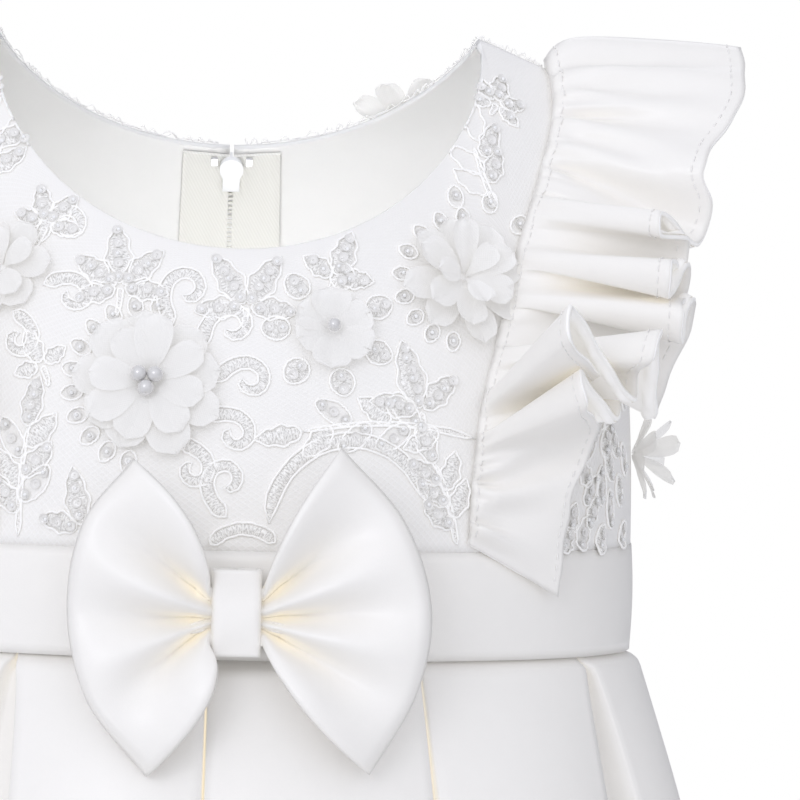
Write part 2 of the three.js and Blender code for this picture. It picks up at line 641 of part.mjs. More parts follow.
// One half of the bow: a double layer of cloth, pinched into folds by the knot and smooth at its rim.
function bowHalf(rays, side) {
  const rows = rays.map((ray, row) => ({ ...ray, row }));
  const pinch = KNOT_STAND_OFF + KNOT.depth - KNOT.wall - SEAM_GAP;
  const outerAt = (i, j) => {
    const share = (i - 1) / (BOW_ALONG - 1);
    const place = j / BOW_ACROSS;
    const { x, y: z } = new THREE.SplineCurve(rays.map((ray) => rayPlace(ray, side, share))).getPoint(place);
    const outside = Math.max(share, 0);
    const rise = valueAt(rows, "row", "rise", place * (rays.length - 1));
    const valley = 0.5 + 0.5 * Math.cos(place * BOW_FOLDS * 2 * Math.PI);
    const fold = BOW_FOLD_DEPTH * valley * Math.min(1, 0.1 + 5 * outside) * (1 - outside) ** 0.9;
    const puff = BOW_PUFF * Math.sin(Math.PI * Math.min(1, 1.1 * outside)) ** 0.8;
    const standOff = lerp(pinch, rise, outside) + puff - fold;
    return new THREE.Vector3(BOW_CENTRE.x + x, -bandFront - standOff, BOW_CENTRE.z + z);
  };
  const innerAt = (i, j) => outerAt(i, j).add(new THREE.Vector3(0, BOW_WALL, 0));
  return wallBetween(BOW_ALONG, BOW_ACROSS, outerAt, innerAt);
}

addPiece("bow_loop_right", bowHalf(BOW_LEFT_RAYS, -1), SATIN);
addPiece("bow_loop_left", bowHalf(BOW_RIGHT_RAYS, 1), SATIN);

function roundedFrame(width, height, corner) {
  const shape = new THREE.Shape();
  const w = width / 2 - corner;
  const h = height / 2 - corner;
  shape.absarc(w, h, corner, 0, QUARTER);
  shape.absarc(-w, h, corner, QUARTER, 2 * QUARTER);
  shape.absarc(-w, -h, corner, 2 * QUARTER, 3 * QUARTER);
  shape.absarc(w, -h, corner, 3 * QUARTER, 4 * QUARTER);
  return shape;
}

function knot() {
  const section = roundedFrame(KNOT.depth, KNOT.height, KNOT.corner);
  const inside = roundedFrame(KNOT.depth - 2 * KNOT.wall, KNOT.height - 2 * KNOT.wall, KNOT.corner - 0.8);
  section.holes.push(inside);
  const band = new THREE.ExtrudeGeometry(section, { depth: KNOT.width, bevelEnabled: false, curveSegments: 4 });
  return band.translate(0, 0, -KNOT.width / 2).rotateX(QUARTER).rotateZ(QUARTER);
}

const knotPiece = addPiece("bow_knot", knot(), SATIN);
knotPiece.position.set(BOW_CENTRE.x, -bandFront - KNOT_STAND_OFF - KNOT.depth / 2, BOW_CENTRE.z);

// Zip

// One long edge of a tape, on the inside of the back panel, the waistband and the top of the skirt.
function tapeLine(turn, aside, inset) {
  const line = [];
  for (let j = 0; j <= BACK_ROWS; j += 1) {
    const drop = panelDrop(topEdge(aside, BACK_NECK), j / BACK_ROWS);
    line.push(onFigure(turn, drop, -BODICE_WALL - inset));
  }
  line[0].lerp(line[1], 0.4);
  for (const drop of [lerp(WAIST_TOP, WAIST_SEAM, 0.5), WAIST_SEAM]) {
    line.push(onFigure(turn, drop, -BODICE_WALL - inset));
  }
  for (const share of [0.2, 1]) {
    line.push(skirtPoint(turn, share * ZIP_BELOW_WAIST, -SKIRT_WALL - SEAM_GAP - inset));
  }
  return line;
}

function tape(side) {
  const edges = [TAPE_TURN, slitTurn];
  if (side < 0) edges.reverse();
  const lines = (inset) => edges.map((aside) => tapeLine(Math.PI - side * aside, aside, inset));
  const outer = lines(SEAM_GAP);
  const inner = lines(SEAM_GAP + TAPE_WALL);
  return wallBetween(1, outer[0].length - 1, (i, j) => outer[i][j], (i, j) => inner[i][j]);
}

addPiece("zip_tape_left", tape(1), TAPE);
addPiece("zip_tape_right", tape(-1), TAPE);

// Frame of the zip's metal parts: local y points out of the back and local z up along it.
const backNormal = figureNormal(Math.PI, SLIDER_DROP);
const zipFrame = new THREE.Group();
zipFrame.position.copy(figurePoint(Math.PI, SLIDER_DROP));
zipFrame.rotation.x = Math.atan2(backNormal.z, backNormal.y);
gown.add(zipFrame);

const tapeFace = -(BODICE_WALL + SEAM_GAP + TAPE_WALL + 2 * SEAM_GAP); // just inside the tapes

// A plate of an outline in local x and z, between two depths.
function plate(shape, from, to, curveSegments = 6) {
  const slab = new THREE.ExtrudeGeometry(shape, { depth: to - from, bevelEnabled: false, curveSegments });
  return slab.rotateX(QUARTER).translate(0, to, 0);
}

function box(width, depth, height, x, y, z) {
  return new THREE.BoxGeometry(width, depth, height).translate(x, y, z);
}

function slider() {
  const { width, waist, length, wall, neck, neckLength } = SLIDER;
  const half = length / 2;
  const shield = new THREE.Shape();
  shield.moveTo(-waist / 2, -half);
  shield.lineTo(waist / 2, -half);
  shield.lineTo(waist / 2, -half * 0.2);
  shield.lineTo(width / 2, half * 0.15);
  shield.absarc(0, half - width / 2, width / 2, 0, Math.PI);
  shield.lineTo(-width / 2, half * 0.15);
  shield.lineTo(-waist / 2, -half * 0.2);
  const body = plate(shield, tapeFace - wall, tapeFace);
  const out = BAIL.depth + 0.4;
  const neckDepth = out - tapeFace;
  const stem = box(neck, neckDepth, neckLength, 0, tapeFace - 0.2 + neckDepth / 2, 0);
  const window = box(neck * 3, BAIL.depth - 2 * BAIL.bar + 0.4, neckLength - 2 * BAIL.bar, 0, out / 2 + 0.3, 0);
  return geometryOf(solidOf(stem).subtract(solidOf(window)).add(solidOf(body)));
}

addPiece("zip_slider", slider(), PAINTED_METAL, zipFrame);

const pivotY = (BAIL.depth + 0.4) / 2 + 0.3;

function pull() {
  const { length, width, wall, window, bar } = PULL;
  const top = bar / 2;
  const drop = new THREE.Shape();
  drop.moveTo(-window / 2 - bar, top);
  drop.lineTo(-width / 2, top - length + width / 2);
  drop.absarc(0, top - length + width / 2, width / 2, Math.PI, 2 * Math.PI);
  drop.lineTo(window / 2 + bar, top);
  const eye = new THREE.Path();
  eye.moveTo(-window / 2, -bar / 2);
  eye.lineTo(window / 2, -bar / 2);
  eye.lineTo(window / 2, -bar / 2 - window);
  eye.lineTo(-window / 2, -bar / 2 - window);
  drop.holes.push(eye);
  return plate(drop, -wall / 2, wall / 2);
}

addPiece("zip_pull", pull(), PAINTED_METAL, zipFrame).position.set(0, pivotY, 0);

for (const [name, side] of [["zip_stop_left", 1], ["zip_stop_right", -1]]) {
  const stop = box(STOP.width, STOP.wall, STOP.length, 0, 0, 0);
  addPiece(name, stop, BRIGHT_METAL, zipFrame).position.set(side * STOP.x, tapeFace - STOP.wall / 2, STOP.up);
}

// Cloth flowers

// Frame of a place on the figure: x to the right of someone facing it, y up and z outwards.
function frameOn(turn, drop, standOff) {
  const out = figureNormal(turn, drop);
  const up = new THREE.Vector3(0, 0, 1).addScaledVector(out, -out.z).normalize();
  const right = up.clone().cross(out);
  return new THREE.Matrix4().makeBasis(right, up, out).setPosition(onFigure(turn, drop, standOff));
}

// A ring of petals in one piece of cloth: lobed round its rim, and cupped from its middle outwards.
function rosette(radius, petals, lift, rise) {
  const profile = [
    { reach: 0.5, height: 0 },
    { reach: 0.9, height: 0.8 },
    { reach: 1, height: 1 },
    { reach: 0.9, height: 0.75 },
  ]; // from one gap between petals to the next
  const sectors = petals * profile.length;
  const rings = [0.45, 1];
  const positions = [];
  for (const depth of [0, PETAL_WALL]) {
    positions.push(0, 0, lift - depth);
    for (const ring of rings) {
      for (let k = 0; k < sectors; k += 1) {
        const { reach, height } = profile[k % profile.length];
        const heading = (k / sectors) * 2 * Math.PI;
        const out = ring * radius * lerp(0.9, reach, ring);
        positions.push(out * Math.cos(heading), out * Math.sin(heading));
        positions.push(lift - depth + rise * ring * ring * (0.4 + 0.6 * height));
      }
    }
  }
  const face = 1 + rings.length * sectors;
  const at = (side, ring, k) => side * face + 1 + ring * sectors + (k % sectors);
  const index = [];
  for (let k = 0; k < sectors; k += 1) {
    index.push(0, at(0, 0, k), at(0, 0, k + 1));
    index.push(face, at(1, 0, k + 1), at(1, 0, k));
    index.push(at(0, 0, k), at(0, 1, k), at(0, 1, k + 1), at(0, 0, k), at(0, 1, k + 1), at(0, 0, k + 1));
    index.push(at(1, 0, k), at(1, 1, k + 1), at(1, 1, k), at(1, 0, k), at(1, 0, k + 1), at(1, 1, k + 1));
    index.push(at(0, 1, k), at(1, 1, k), at(1, 1, k + 1), at(0, 1, k), at(1, 1, k + 1), at(0, 1, k + 1));
  }
  return new THREE.BufferGeometry()
    .setAttribute("position", new THREE.Float32BufferAttribute(positions, 3))
    .setIndex(index);
}

function flower({ turn, drop, radius, outer, inner, pearls }) {
  const pieces = [rosette(radius, outer, PETAL_WALL, 0.28 * radius)];
  if (inner) pieces.push(rosette(0.6 * radius, inner, PETAL_WALL + 0.5, 0.42 * radius).rotateZ(0.4));
  for (let k = 0; k < pearls; k += 1) {
    const ring = pearls > 1 ? PEARL_RADIUS * 1.1 : 0;
    const heading = (k / pearls) * 2 * Math.PI + 0.5;
    const pearl = new THREE.OctahedronGeometry(PEARL_RADIUS, 1);
    pieces.push(pearl.translate(ring * Math.cos(heading), ring * Math.sin(heading), 1.2 + PEARL_RADIUS));
  }
  return joined(pieces).applyMatrix4(frameOn(turn, drop, SEAM_GAP));
}

for (const row of FLOWERS) {
  addPiece(row.name, flower({ ...row, turn: degToRad(row.turn) }), CHIFFON);
}

// Corded lace sprays

// A strip on a panel along a line of flat places, which starts at a place on the figure.
function laceStrip(turn, drop, line, raise) {
  const place = ({ x, y }) => {
    const wide = valueAt(FIGURE, "drop", "halfWidth", drop) * Math.cos(turn);
    const deep = valueAt(FIGURE, "drop", "front", drop) * Math.sin(turn);
    return [turn + x / Math.hypot(wide, deep), drop - y];
  };
  const sideAt = (i, j) => {
    const { x, y, half, heading } = line[j];
    const across = (i - 0.5) * 2 * half;
    return place({ x: x + across * Math.sin(heading), y: y - across * Math.cos(heading) });
  };
  const lift = SEAM_GAP + 0.1;
  const outerAt = (i, j) => onFigure(...sideAt(1 - i, j), lift + raise);
  const innerAt = (i, j) => onFigure(...sideAt(1 - i, j), lift);
  return wallBetween(1, line.length - 1, outerAt, innerAt);
}

// Places along an arc that starts at a point with a heading and bends by an angle over its length.
function arcLine(start, heading, length, bend, halves) {
  const line = [];
  let { x, y } = start;
  const step = length / (halves.length - 1);
  halves.forEach((half, k) => {
    const now = heading + (bend * k) / (halves.length - 1);
    line.push({ x, y, half, heading: now });
    x += step * Math.cos(now);
    y += step * Math.sin(now);
  });
  return line;
}

function spray({ turn, drop, heading, stem, bend, pairs, leaf }) {
  const stemHalves = Array(2 * pairs + 2).fill(STEM_HALF);
  const stemLine = arcLine({ x: 0, y: 0 }, heading, stem, bend, stemHalves);
  const strips = [laceStrip(turn, drop, stemLine, LACE_RAISE - 0.2)];
  for (let k = 0; k < pairs; k += 1) {
    for (const side of [-1, 1]) {
      const root = stemLine[2 * k + (side > 0 ? 2 : 1)];
      const halves = [0.7, 0.24 * leaf, 0.5];
      const leafLine = arcLine(root, root.heading + side * 0.75, leaf * (1 - 0.08 * k), -side * 0.3, halves);
      strips.push(laceStrip(turn, drop, leafLine, LACE_RAISE));
    }
  }
  return joined(strips);
}

for (const row of SPRAYS) {
  const inRadians = { turn: degToRad(row.turn), heading: degToRad(row.heading), bend: degToRad(row.bend) };
  addPiece(row.name, spray({ ...row, ...inRadians }), LACE_CORD);
}

export default gown;
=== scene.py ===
# %% [markdown]
# # A toddler's christening gown
# The gown hangs in its worn, hollow form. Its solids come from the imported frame, and this lesson
# dresses them: each cut piece becomes a fine grid of cloth laid over the same measurements, and the
# sewing, lace, sequins and pearls are added on top. Sizes in the tables are millimetres, because a
# dressmaker reads those at a glance.

# %% Load the frame and keep its box
import math
import random
from collections import namedtuple

import bmesh
import bpy
from mathutils import Matrix, Vector


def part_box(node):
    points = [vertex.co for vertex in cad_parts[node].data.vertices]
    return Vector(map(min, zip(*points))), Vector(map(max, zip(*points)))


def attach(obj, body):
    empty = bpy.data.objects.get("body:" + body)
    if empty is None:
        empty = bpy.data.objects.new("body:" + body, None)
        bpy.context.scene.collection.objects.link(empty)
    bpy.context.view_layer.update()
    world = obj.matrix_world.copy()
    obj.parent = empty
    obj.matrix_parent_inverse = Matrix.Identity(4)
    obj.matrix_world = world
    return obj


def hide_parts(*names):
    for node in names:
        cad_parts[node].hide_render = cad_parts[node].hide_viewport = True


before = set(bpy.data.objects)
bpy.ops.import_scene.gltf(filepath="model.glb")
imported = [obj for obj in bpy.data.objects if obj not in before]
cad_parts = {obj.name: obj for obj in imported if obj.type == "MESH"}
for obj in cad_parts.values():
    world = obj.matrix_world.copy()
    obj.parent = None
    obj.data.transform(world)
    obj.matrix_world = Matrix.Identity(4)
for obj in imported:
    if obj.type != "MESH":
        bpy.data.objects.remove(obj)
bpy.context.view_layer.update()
MM = 0.001
BODY = "gown"
QUARTER = math.pi / 2

# %% [markdown]
# ## The figure under the gown
# Every panel lies on one smooth figure. A short table gives its half-width and its depth to the front
# and the back at each drop below the shoulder, and a smooth curve joins the rows. A place on the figure
# is then a turn round the body, from the centre front, and a drop. Everything that is sewn on a panel
# uses the same two numbers.

# %% Measurements of the figure
FigureRow = namedtuple("FigureRow", "drop half_width front back")
FIGURE = [
    FigureRow(0, 82, 0.6, 0.6),
    FigureRow(1, 82.6, 7, 8),
    FigureRow(5, 84.5, 16, 19),
    FigureRow(14, 87, 28, 33),
    FigureRow(27, 89.5, 40, 46),
    FigureRow(51, 93.5, 55, 59),
    FigureRow(76, 96.5, 66, 66),
    FigureRow(100, 98, 73, 70),
    FigureRow(122, 98.4, 76, 73),
    FigureRow(148, 98.4, 78, 75),
    FigureRow(170, 98.4, 78, 75),
]
SEAM_GAP = 0.3
BODICE_WALL = 1.6
SKIRT_WALL = 1.4
RUFFLE_WALL = 1.0
Neck = namedtuple("Neck", "drop curve")
FRONT_NECK = Neck(51, 0.75)
BACK_NECK = Neck(28, 1.05)
UNDERARM_DROP = 74
WAIST_TOP = 122
WAIST_SEAM = 148
SKIRT_LENGTH = 370
NECK_TURN = math.radians(45.6)
TIP_TURN = math.radians(66)
SHOULDER_FALL = 7
SHOULDER_NECK_X = 58.5
SHOULDER_TIP_X = 75
SHOULDER_FADE = 30
SHALLOWEST = 0.5
CENTRE_SLIT = 1.2
# How far a turn of one radian runs along the cloth, at the side seams and at the centre back
SIDE_RUN = 78
BACK_RUN = 95.3


def lerp(low, high, share):
    return low + (high - low) * share


def clamp(value, low=0.0, high=1.0):
    return max(low, min(high, value))


def ease(share):
    share = clamp(share)
    return share * share * (3 - 2 * share)


def value_at(table, key, column, place):
    """Smooth value of one column of a table, whose key column runs upwards."""
    last = len(table) - 1
    row = 0
    while row < last - 1 and place > getattr(table[row + 1], key):
        row += 1

    def slope(k):
        before, after = table[max(k - 1, 0)], table[min(k + 1, last)]
        rise = getattr(after, column) - getattr(before, column)
        return rise / (getattr(after, key) - getattr(before, key))

    span = getattr(table[row + 1], key) - getattr(table[row], key)
    q = clamp((place - getattr(table[row], key)) / span)
    low, high = getattr(table[row], column), getattr(table[row + 1], column)
    bend = q * (1 - q) * span
    return lerp(low, high, ease(q)) + bend * ((1 - q) * slope(row) - q * slope(row + 1))


def shoulder_fall(x, drop):
    outside = max(0.0, abs(x) - SHOULDER_NECK_X) / (SHOULDER_TIP_X - SHOULDER_NECK_X)
    return SHOULDER_FALL * outside * math.exp(-drop / SHOULDER_FADE)


def figure_point(turn, drop):
    depth = "front" if math.cos(turn) > 0 else "back"
    x = value_at(FIGURE, "drop", "half_width", drop) * math.sin(turn)
    y = -value_at(FIGURE, "drop", depth, drop) * math.cos(turn)
    return Vector((x, y, -drop - shoulder_fall(x, drop)))


def normal_of(point_at, turn, down):
    turn_step, down_step = 0.004, 0.4
    across = point_at(turn + turn_step, down) - point_at(turn - turn_step, down)
    below = point_at(turn, down + down_step) - point_at(turn, down - down_step)
    return below.cross(across).normalized()


def figure_normal(turn, drop):
    return normal_of(figure_point, turn, max(drop, SHALLOWEST))


def on_figure(turn, drop, stand_off):
    return figure_point(turn, drop) + figure_normal(turn, drop) * stand_off


def turn_at(x, drop):
    """Turn of the front panel at a distance x from the centre front, as seen from the front."""
    return math.asin(clamp(x / value_at(FIGURE, "drop", "half_width", drop), -1, 1))


waist = FIGURE[-1]
print("waist girth about", round(math.pi * (waist.half_width + (waist.front + waist.back) / 2)), "mm")

# %% [markdown]
# ## Finishes
# A material here is a small graph of nodes. Writing the sums as Python expressions keeps them readable:
# a Flow wraps one socket, and adding or multiplying flows adds the Math nodes. Any other node comes
# from one method that sets the node's own settings first and then feeds its sockets.


# %% A small shader language
class Flow:
    """One value in a graph of nodes."""

    def __init__(self, graph, socket):
        self.graph = graph
        self.socket = socket

    def math(self, operation, *others):
        node = self.graph.tree.nodes.new("ShaderNodeMath")
        node.operation = operation
        for slot, value in zip(node.inputs, (self, *others)):
            self.graph.feed(slot, value)
        return Flow(self.graph, node.outputs[0])

    def __add__(self, other):
        return self.math("ADD", other)

    def __radd__(self, other):
        return self + other

    def __sub__(self, other):
        return self.math("SUBTRACT", other)

    def __rsub__(self, other):
        return self * -1 + other

    def __mul__(self, other):
        return self.math("MULTIPLY", other)

    def __rmul__(self, other):
        return self * other

    def clipped(self):
        return self.math("MAXIMUM", 0.0).math("MINIMUM", 1.0)


class Graph:
    """A tree of nodes, of a material or of the world."""

    def __init__(self, tree):
        self.tree = tree

    def feed(self, slot, value):
        if isinstance(value, Flow):
            self.tree.links.new(value.socket, slot)
        else:
            slot.default_value = value

    def node(self, kind, settings=None, output=0, **inputs):
        node = self.tree.nodes.new("ShaderNode" + kind)
        for name, value in (settings or {}).items():
            setattr(node, name, value)
        for name, value in inputs.items():
            self.feed(node.inputs[name.replace("_", " ")], value)
        return Flow(self, node.outputs[output])

    def parts(self, vector):
        outputs = self.node("SeparateXYZ", Vector=vector).socket.node.outputs
        return [Flow(self, socket) for socket in outputs]

    def mix(self, share, low, high):
        node = self.tree.nodes.new("ShaderNodeMix")
        node.data_type = "RGBA"
        self.feed(node.inputs["Factor"], share)
        self.feed(node.inputs[6], low)
        self.feed(node.inputs[7], high)
        return Flow(self, node.outputs[2])


class Finish(Graph):
    """A material with one Principled shader."""

    def __init__(self, name, **constants):
        self.material = bpy.data.materials.new(name)
        self.material.use_nodes = True
        super().__init__(self.material.node_tree)
        self.shader = self.tree.nodes["Principled BSDF"]
        self.use(**constants)

    def use(self, **inputs):
        for name, value in inputs.items():
            self.feed(self.shader.inputs[name.replace("_", " ")], value)
        return self.material

    def along(self, scale):
        """The cloth's own two directions, from its UV map, in cycles per metre."""
        across, up, depth = self.parts(self.node("UVMap", {"uv_map": "weave"}))
        return across * scale, up * scale

    def bump(self, height, strength, distance):
        return self.node("Bump", Height=height, Strength=strength, Distance=distance)


print("shader language ready")

# %% [markdown]
# ## Satin, lining, tulle and trim
# Satin is a smooth weave with long floats: a soft sheen, a faint cloudiness and a very fine grain. Its
# ivory colour is warm, so light that bounces about inside a deep fold comes out yellow, as it does on
# the real cloth, and a faint glow there stands for light that passes through the folded layers. The
# tulle is a fine net over a satin lining, so it gets the net in its colour and its relief.


# %% Finishes of the cloth
FOLD_REACH = 0.006
THIN_CLOTH_LIGHT = (1, 0.99, 0.97, 1)


def satin_finish(name, colour, rough, fold_glow=None, thin_glow=0.0):
    """Satin: fold_glow is light through the layers of a deep fold, thin_glow light through one layer."""
    finish = Finish(name, Sheen_Weight=0.12, Sheen_Roughness=0.35, Specular_IOR_Level=0.45)
    if fold_glow:
        nearby = {"samples": 4, "only_local": True}
        hidden = 1 - finish.node("AmbientOcclusion", nearby, output=1, Distance=FOLD_REACH)
        inside = hidden * hidden * hidden
        finish.use(Emission_Color=finish.mix(inside, (0, 0, 0, 1), (*fold_glow, 1)), Emission_Strength=1.0)
    if thin_glow:
        finish.use(Emission_Color=THIN_CLOTH_LIGHT, Emission_Strength=thin_glow)
    spot = finish.node("TexCoord", output=3)
    grain = finish.node("TexNoise", Vector=spot, Scale=2600.0, Detail=2.0, Roughness=0.6)
    streak = finish.node("TexNoise", Vector=spot, Scale=160.0, Detail=3.0, Roughness=0.5)
    shade = 0.5 * grain + 0.5 * streak
    pale = tuple(min(1, 1.02 * part) for part in colour)
    dull = tuple(0.965 * part for part in colour)
    return finish.use(
        Base_Color=finish.mix(shade, (*dull, 1), (*pale, 1)),
        Roughness=rough - 0.06 + 0.12 * streak,
        Normal=finish.bump(0.7 * grain + 0.3 * streak, 0.35, 0.00008),
    )


def tulle_finish(name, lining, thread):
    finish = Finish(name, Sheen_Weight=0.15, Specular_IOR_Level=0.35)
    pitch = 0.0011
    across, up = finish.along(1 / pitch)
    lines = []
    for lean in (1, -1):
        wave = ((across + lean * 0.62 * up) * (2 * math.pi)).math("COSINE")
        lines.append(((wave - 0.35) * 1.8).clipped())
    net = lines[0].math("MAXIMUM", lines[1])
    spot = finish.node("TexCoord", output=3)
    cloud = finish.node("TexNoise", Vector=spot, Scale=90.0, Detail=2.0)
    share = (0.75 * net + 0.25 * cloud).clipped()
    return finish.use(
        Base_Color=finish.mix(share, (*lining, 1), (*thread, 1)),
        Roughness=0.62 - 0.14 * net,
        Normal=finish.bump(net, 0.3, 0.00018),
    )


SATIN = satin_finish("ivory_satin", (0.945, 0.923, 0.878), 0.34, fold_glow=(0.2, 0.18, 0.14))
LINING = satin_finish("satin_lining", (0.95, 0.94, 0.915), 0.48)
TULLE = tulle_finish("tulle_over_lining", (0.93, 0.912, 0.875), (0.96, 0.945, 0.915))
print("finishes:", [m.name for m in (SATIN, LINING, TULLE)])

# %% [markdown]
# ## Laying a grid of cloth
# Blender could drape each piece by simulation, but the photograph shows exact folds, so each piece is a
# grid whose points are set by measurement. The grid keeps its own flat coordinates as a UV map in
# metres, and the net of the tulle reads those, so it follows the cloth. Solidify then gives the cloth
# its wall.


# %% The cloth helper
def linked(name, mesh):
    piece = bpy.data.objects.new(name, mesh)
    bpy.context.collection.objects.link(piece)
    return piece


def cloth(name, columns, rows, place, flat, finishes, wall=0.0, inner=0):
    """A grid of cloth. place(u, v) gives a point in millimetres, flat is the cut size in metres."""
    mesh = bpy.data.meshes.new(name)
    bm = bmesh.new()
    weave = bm.loops.layers.uv.new("weave")
    bmesh.ops.create_grid(bm, x_segments=columns, y_segments=rows, size=0.5)
    for face in bm.faces:
        face.smooth = True
        for loop in face.loops:
            spot = loop.vert.co
            loop[weave].uv = ((spot.x + 0.5) * flat[0], (spot.y + 0.5) * flat[1])
    for vert in bm.verts:
        vert.co = place(vert.co.x + 0.5, vert.co.y + 0.5) * MM
    bm.to_mesh(mesh)
    bm.free()
    for finish in finishes:
        mesh.materials.append(finish)
    piece = linked(name, mesh)
    if wall:
        solid = piece.modifiers.new("wall", "SOLIDIFY")
        solid.thickness = wall * MM
        solid.offset = -1
        solid.material_offset = inner
        solid.material_offset_rim = inner
    return piece


def area_of(piece):
    return sum(face.area for face in piece.data.polygons)


def sewn(piece, node, flat):
    """Hangs a cloth piece on the gown, hides the frame's part it replaces, and prints its area beside its
    cut size.
    """
    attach(piece, BODY)
    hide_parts(node)
    print(piece.name, "area", round(area_of(piece), 4), "of", round(flat[0] * flat[1], 4), "m2")
    return piece


# %% [markdown]
# ## Bodice
# Three panels: a front and two backs that meet at the zip. The outside is lace tulle on satin, and the
# inside is the plain lining that shows through the neck. The top edge runs along the neckline, the
# short shoulder seam and the armhole, so the columns of the grid crowd towards the shoulder, where that
# edge turns fastest.


# %% Bodice panels
def top_edge(side, neck):
    if side <= NECK_TURN:
        return neck.drop * (1 - (side / NECK_TURN) ** 2) ** neck.curve
    if side <= TIP_TURN:
        return 0.0
    across = (side - TIP_TURN) / (QUARTER - TIP_TURN)
    return UNDERARM_DROP * (1 - (1 - min(across, 1)) ** 1.7) ** 0.75


SIDE_GAP = SEAM_GAP / 2 / SIDE_RUN
SLIT_TURN = CENTRE_SLIT / 2 / BACK_RUN


def half_columns(neck_steps, strap_steps, arm_steps):
    columns = [NECK_TURN * math.sin(k / neck_steps * QUARTER) for k in range(neck_steps + 1)]
    columns += [lerp(NECK_TURN, TIP_TURN, k / strap_steps) for k in range(1, strap_steps + 1)]
    span = QUARTER - SIDE_GAP
    for k in range(1, arm_steps + 1):
        columns.append(lerp(TIP_TURN, span, 1 - math.cos(k / arm_steps * QUARTER)))
    return columns


def panel_place(columns, neck):
    """Place of a panel's grid point, from columns of (turn, side)."""

    def place(u, v):
        turn, side = columns[round(u * (len(columns) - 1))]
        share = 1 - v
        drop = lerp(top_edge(side, neck), WAIST_TOP + SEAM_LAP, share**1.5)
        return figure_point(turn, drop)

    return place


PANEL_ROWS = 44
PANEL_WEAVE_HEIGHT = 0.13
SEAM_LAP = 0.6
half = half_columns(24, 9, 18)
front_columns = [(-side, side) for side in reversed(half[1:])] + [(side, side) for side in half]
back_half = [max(side, SLIT_TURN) for side in half]
back_left_columns = [(math.pi - side, side) for side in reversed(back_half)]
back_right_columns = [(math.pi + side, side) for side in back_half]
for node, columns, neck, flat in (
    ("bodice_front", front_columns, FRONT_NECK, (0.272, 0.09)),
    ("bodice_back_left", back_left_columns, BACK_NECK, (0.134, 0.099)),
    ("bodice_back_right", back_right_columns, BACK_NECK, (0.134, 0.099)),
):
    place = panel_place(columns, neck)
    weave = (flat[0], PANEL_WEAVE_HEIGHT)
    finishes = (TULLE, LINING)
    panel = cloth(node + "_cloth", len(columns) - 1, PANEL_ROWS, place, weave, finishes, BODICE_WALL, 1)
    sewn(panel, node, flat)

# %% [markdown]
# ## Waistband
# A plain band of satin between bodice and skirt. A real band is never quite smooth: it pulls a little
# between the seams and swells in its middle, so the grid stands proud by a fraction of a millimetre
# there.

# %% Waistband pieces
BAND_ROWS = 10
BAND_COLUMNS_PER_METRE = 400
BAND_HEIGHT = 0.026
BAND_PROUD = 0.25


def band_place(start, end, seed):
    chance = random.Random(seed)
    waves = []
    for _ in range(4):
        waves.append((chance.uniform(3, 9), chance.uniform(0, 6.28), chance.uniform(0.05, 0.16)))

    def place(u, v):
        turn = lerp(start, end, u)
        drop = lerp(WAIST_SEAM - SEAM_GAP, WAIST_TOP, v)
        pull = sum(depth * math.sin(count * turn * 2 + phase) for count, phase, depth in waves)
        swell = BAND_PROUD + math.sin(math.pi * v) * (0.3 + pull)
        return on_figure(turn, drop, swell)

    return place


front_end = QUARTER - SIDE_GAP
back_start = QUARTER + SIDE_GAP
for node, start, end, width in (
    ("waistband_front", -front_end, front_end, 0.272),
    ("waistband_back_left", back_start, math.pi - SLIT_TURN, 0.134),
    ("waistband_back_right", math.pi + SLIT_TURN, 2 * math.pi - back_start, 0.134),
):
    flat = (width, BAND_HEIGHT)
    place = band_place(start, end, node)
    columns = round(width * BAND_COLUMNS_PER_METRE)
    band = cloth(node + "_cloth", columns, BAND_ROWS, place, flat, (SATIN,), BODICE_WALL)
    sewn(band, node, flat)

# %% [markdown]
# ## Skirt
# A box-pleated skirt hangs from the waist seam. At each pleat two folded edges meet and the cloth
# between them lies behind. Near the waist the folds almost touch, and below they part, some at once and
# some late. One table row per pleat says where it is and how it opens.

# %% Skirt measurements
SkirtRow = namedtuple("SkirtRow", "below half_width front back pleat_depth swell")
SKIRT = [
    SkirtRow(0, 99.9, 79.3, 76.3, 4, 0),
    SkirtRow(4, 101.6, 80.8, 77.6, 4.6, 0.4),
    SkirtRow(36, 111.6, 88.5, 86, 9, 1.6),
    SkirtRow(120, 135, 108, 106, 15, 3),
    SkirtRow(240, 165, 136, 135, 19, 4),
    SkirtRow(370, 195, 163, 163, 21, 4),
]
Pleat = namedtuple("Pleat", "turn hem_mouth late")
PLEATS = [
    Pleat(-152, 19, 0.7),
    Pleat(-121, 21, 0.6),
    Pleat(-90, 19, 0.6),
    Pleat(-60, 21, 0.55),
    Pleat(-31.4, 21, 0.55),
    Pleat(-3.3, 13, 2.2),
    Pleat(26.6, 15, 1.5),
    Pleat(59.8, 22, 0.55),
    Pleat(90, 19, 0.6),
    Pleat(121, 21, 0.6),
    Pleat(152, 19, 0.7),
]
PLEAT_MOUTH = 0.25
FOLD_EDGE = 2.8
# Section of half a pleat: place across in half-mouths, place aside on the flat panel, share of the depth
HALF_SECTION = [
    (0, 0, 1),
    (0.4, 0, 1),
    (0.62, 0, 0.97),
    (0.78, 0, 0.8),
    (0.92, 0, 0.4),
    (1, 0, 0.1),
    (1, 0.5, 0.02),
    (1, FOLD_EDGE, 0),
]
PANEL_STEPS = 12


def skirt_base(turn, below):
    depth = "front" if math.cos(turn) > 0 else "back"
    x = value_at(SKIRT, "below", "half_width", below) * math.sin(turn)
    y = -value_at(SKIRT, "below", depth, below) * math.cos(turn)
    return Vector((x, y, -WAIST_SEAM - below))


def skirt_point(turn, below, stand_off):
    return skirt_base(turn, below) + normal_of(skirt_base, turn, below) * stand_off


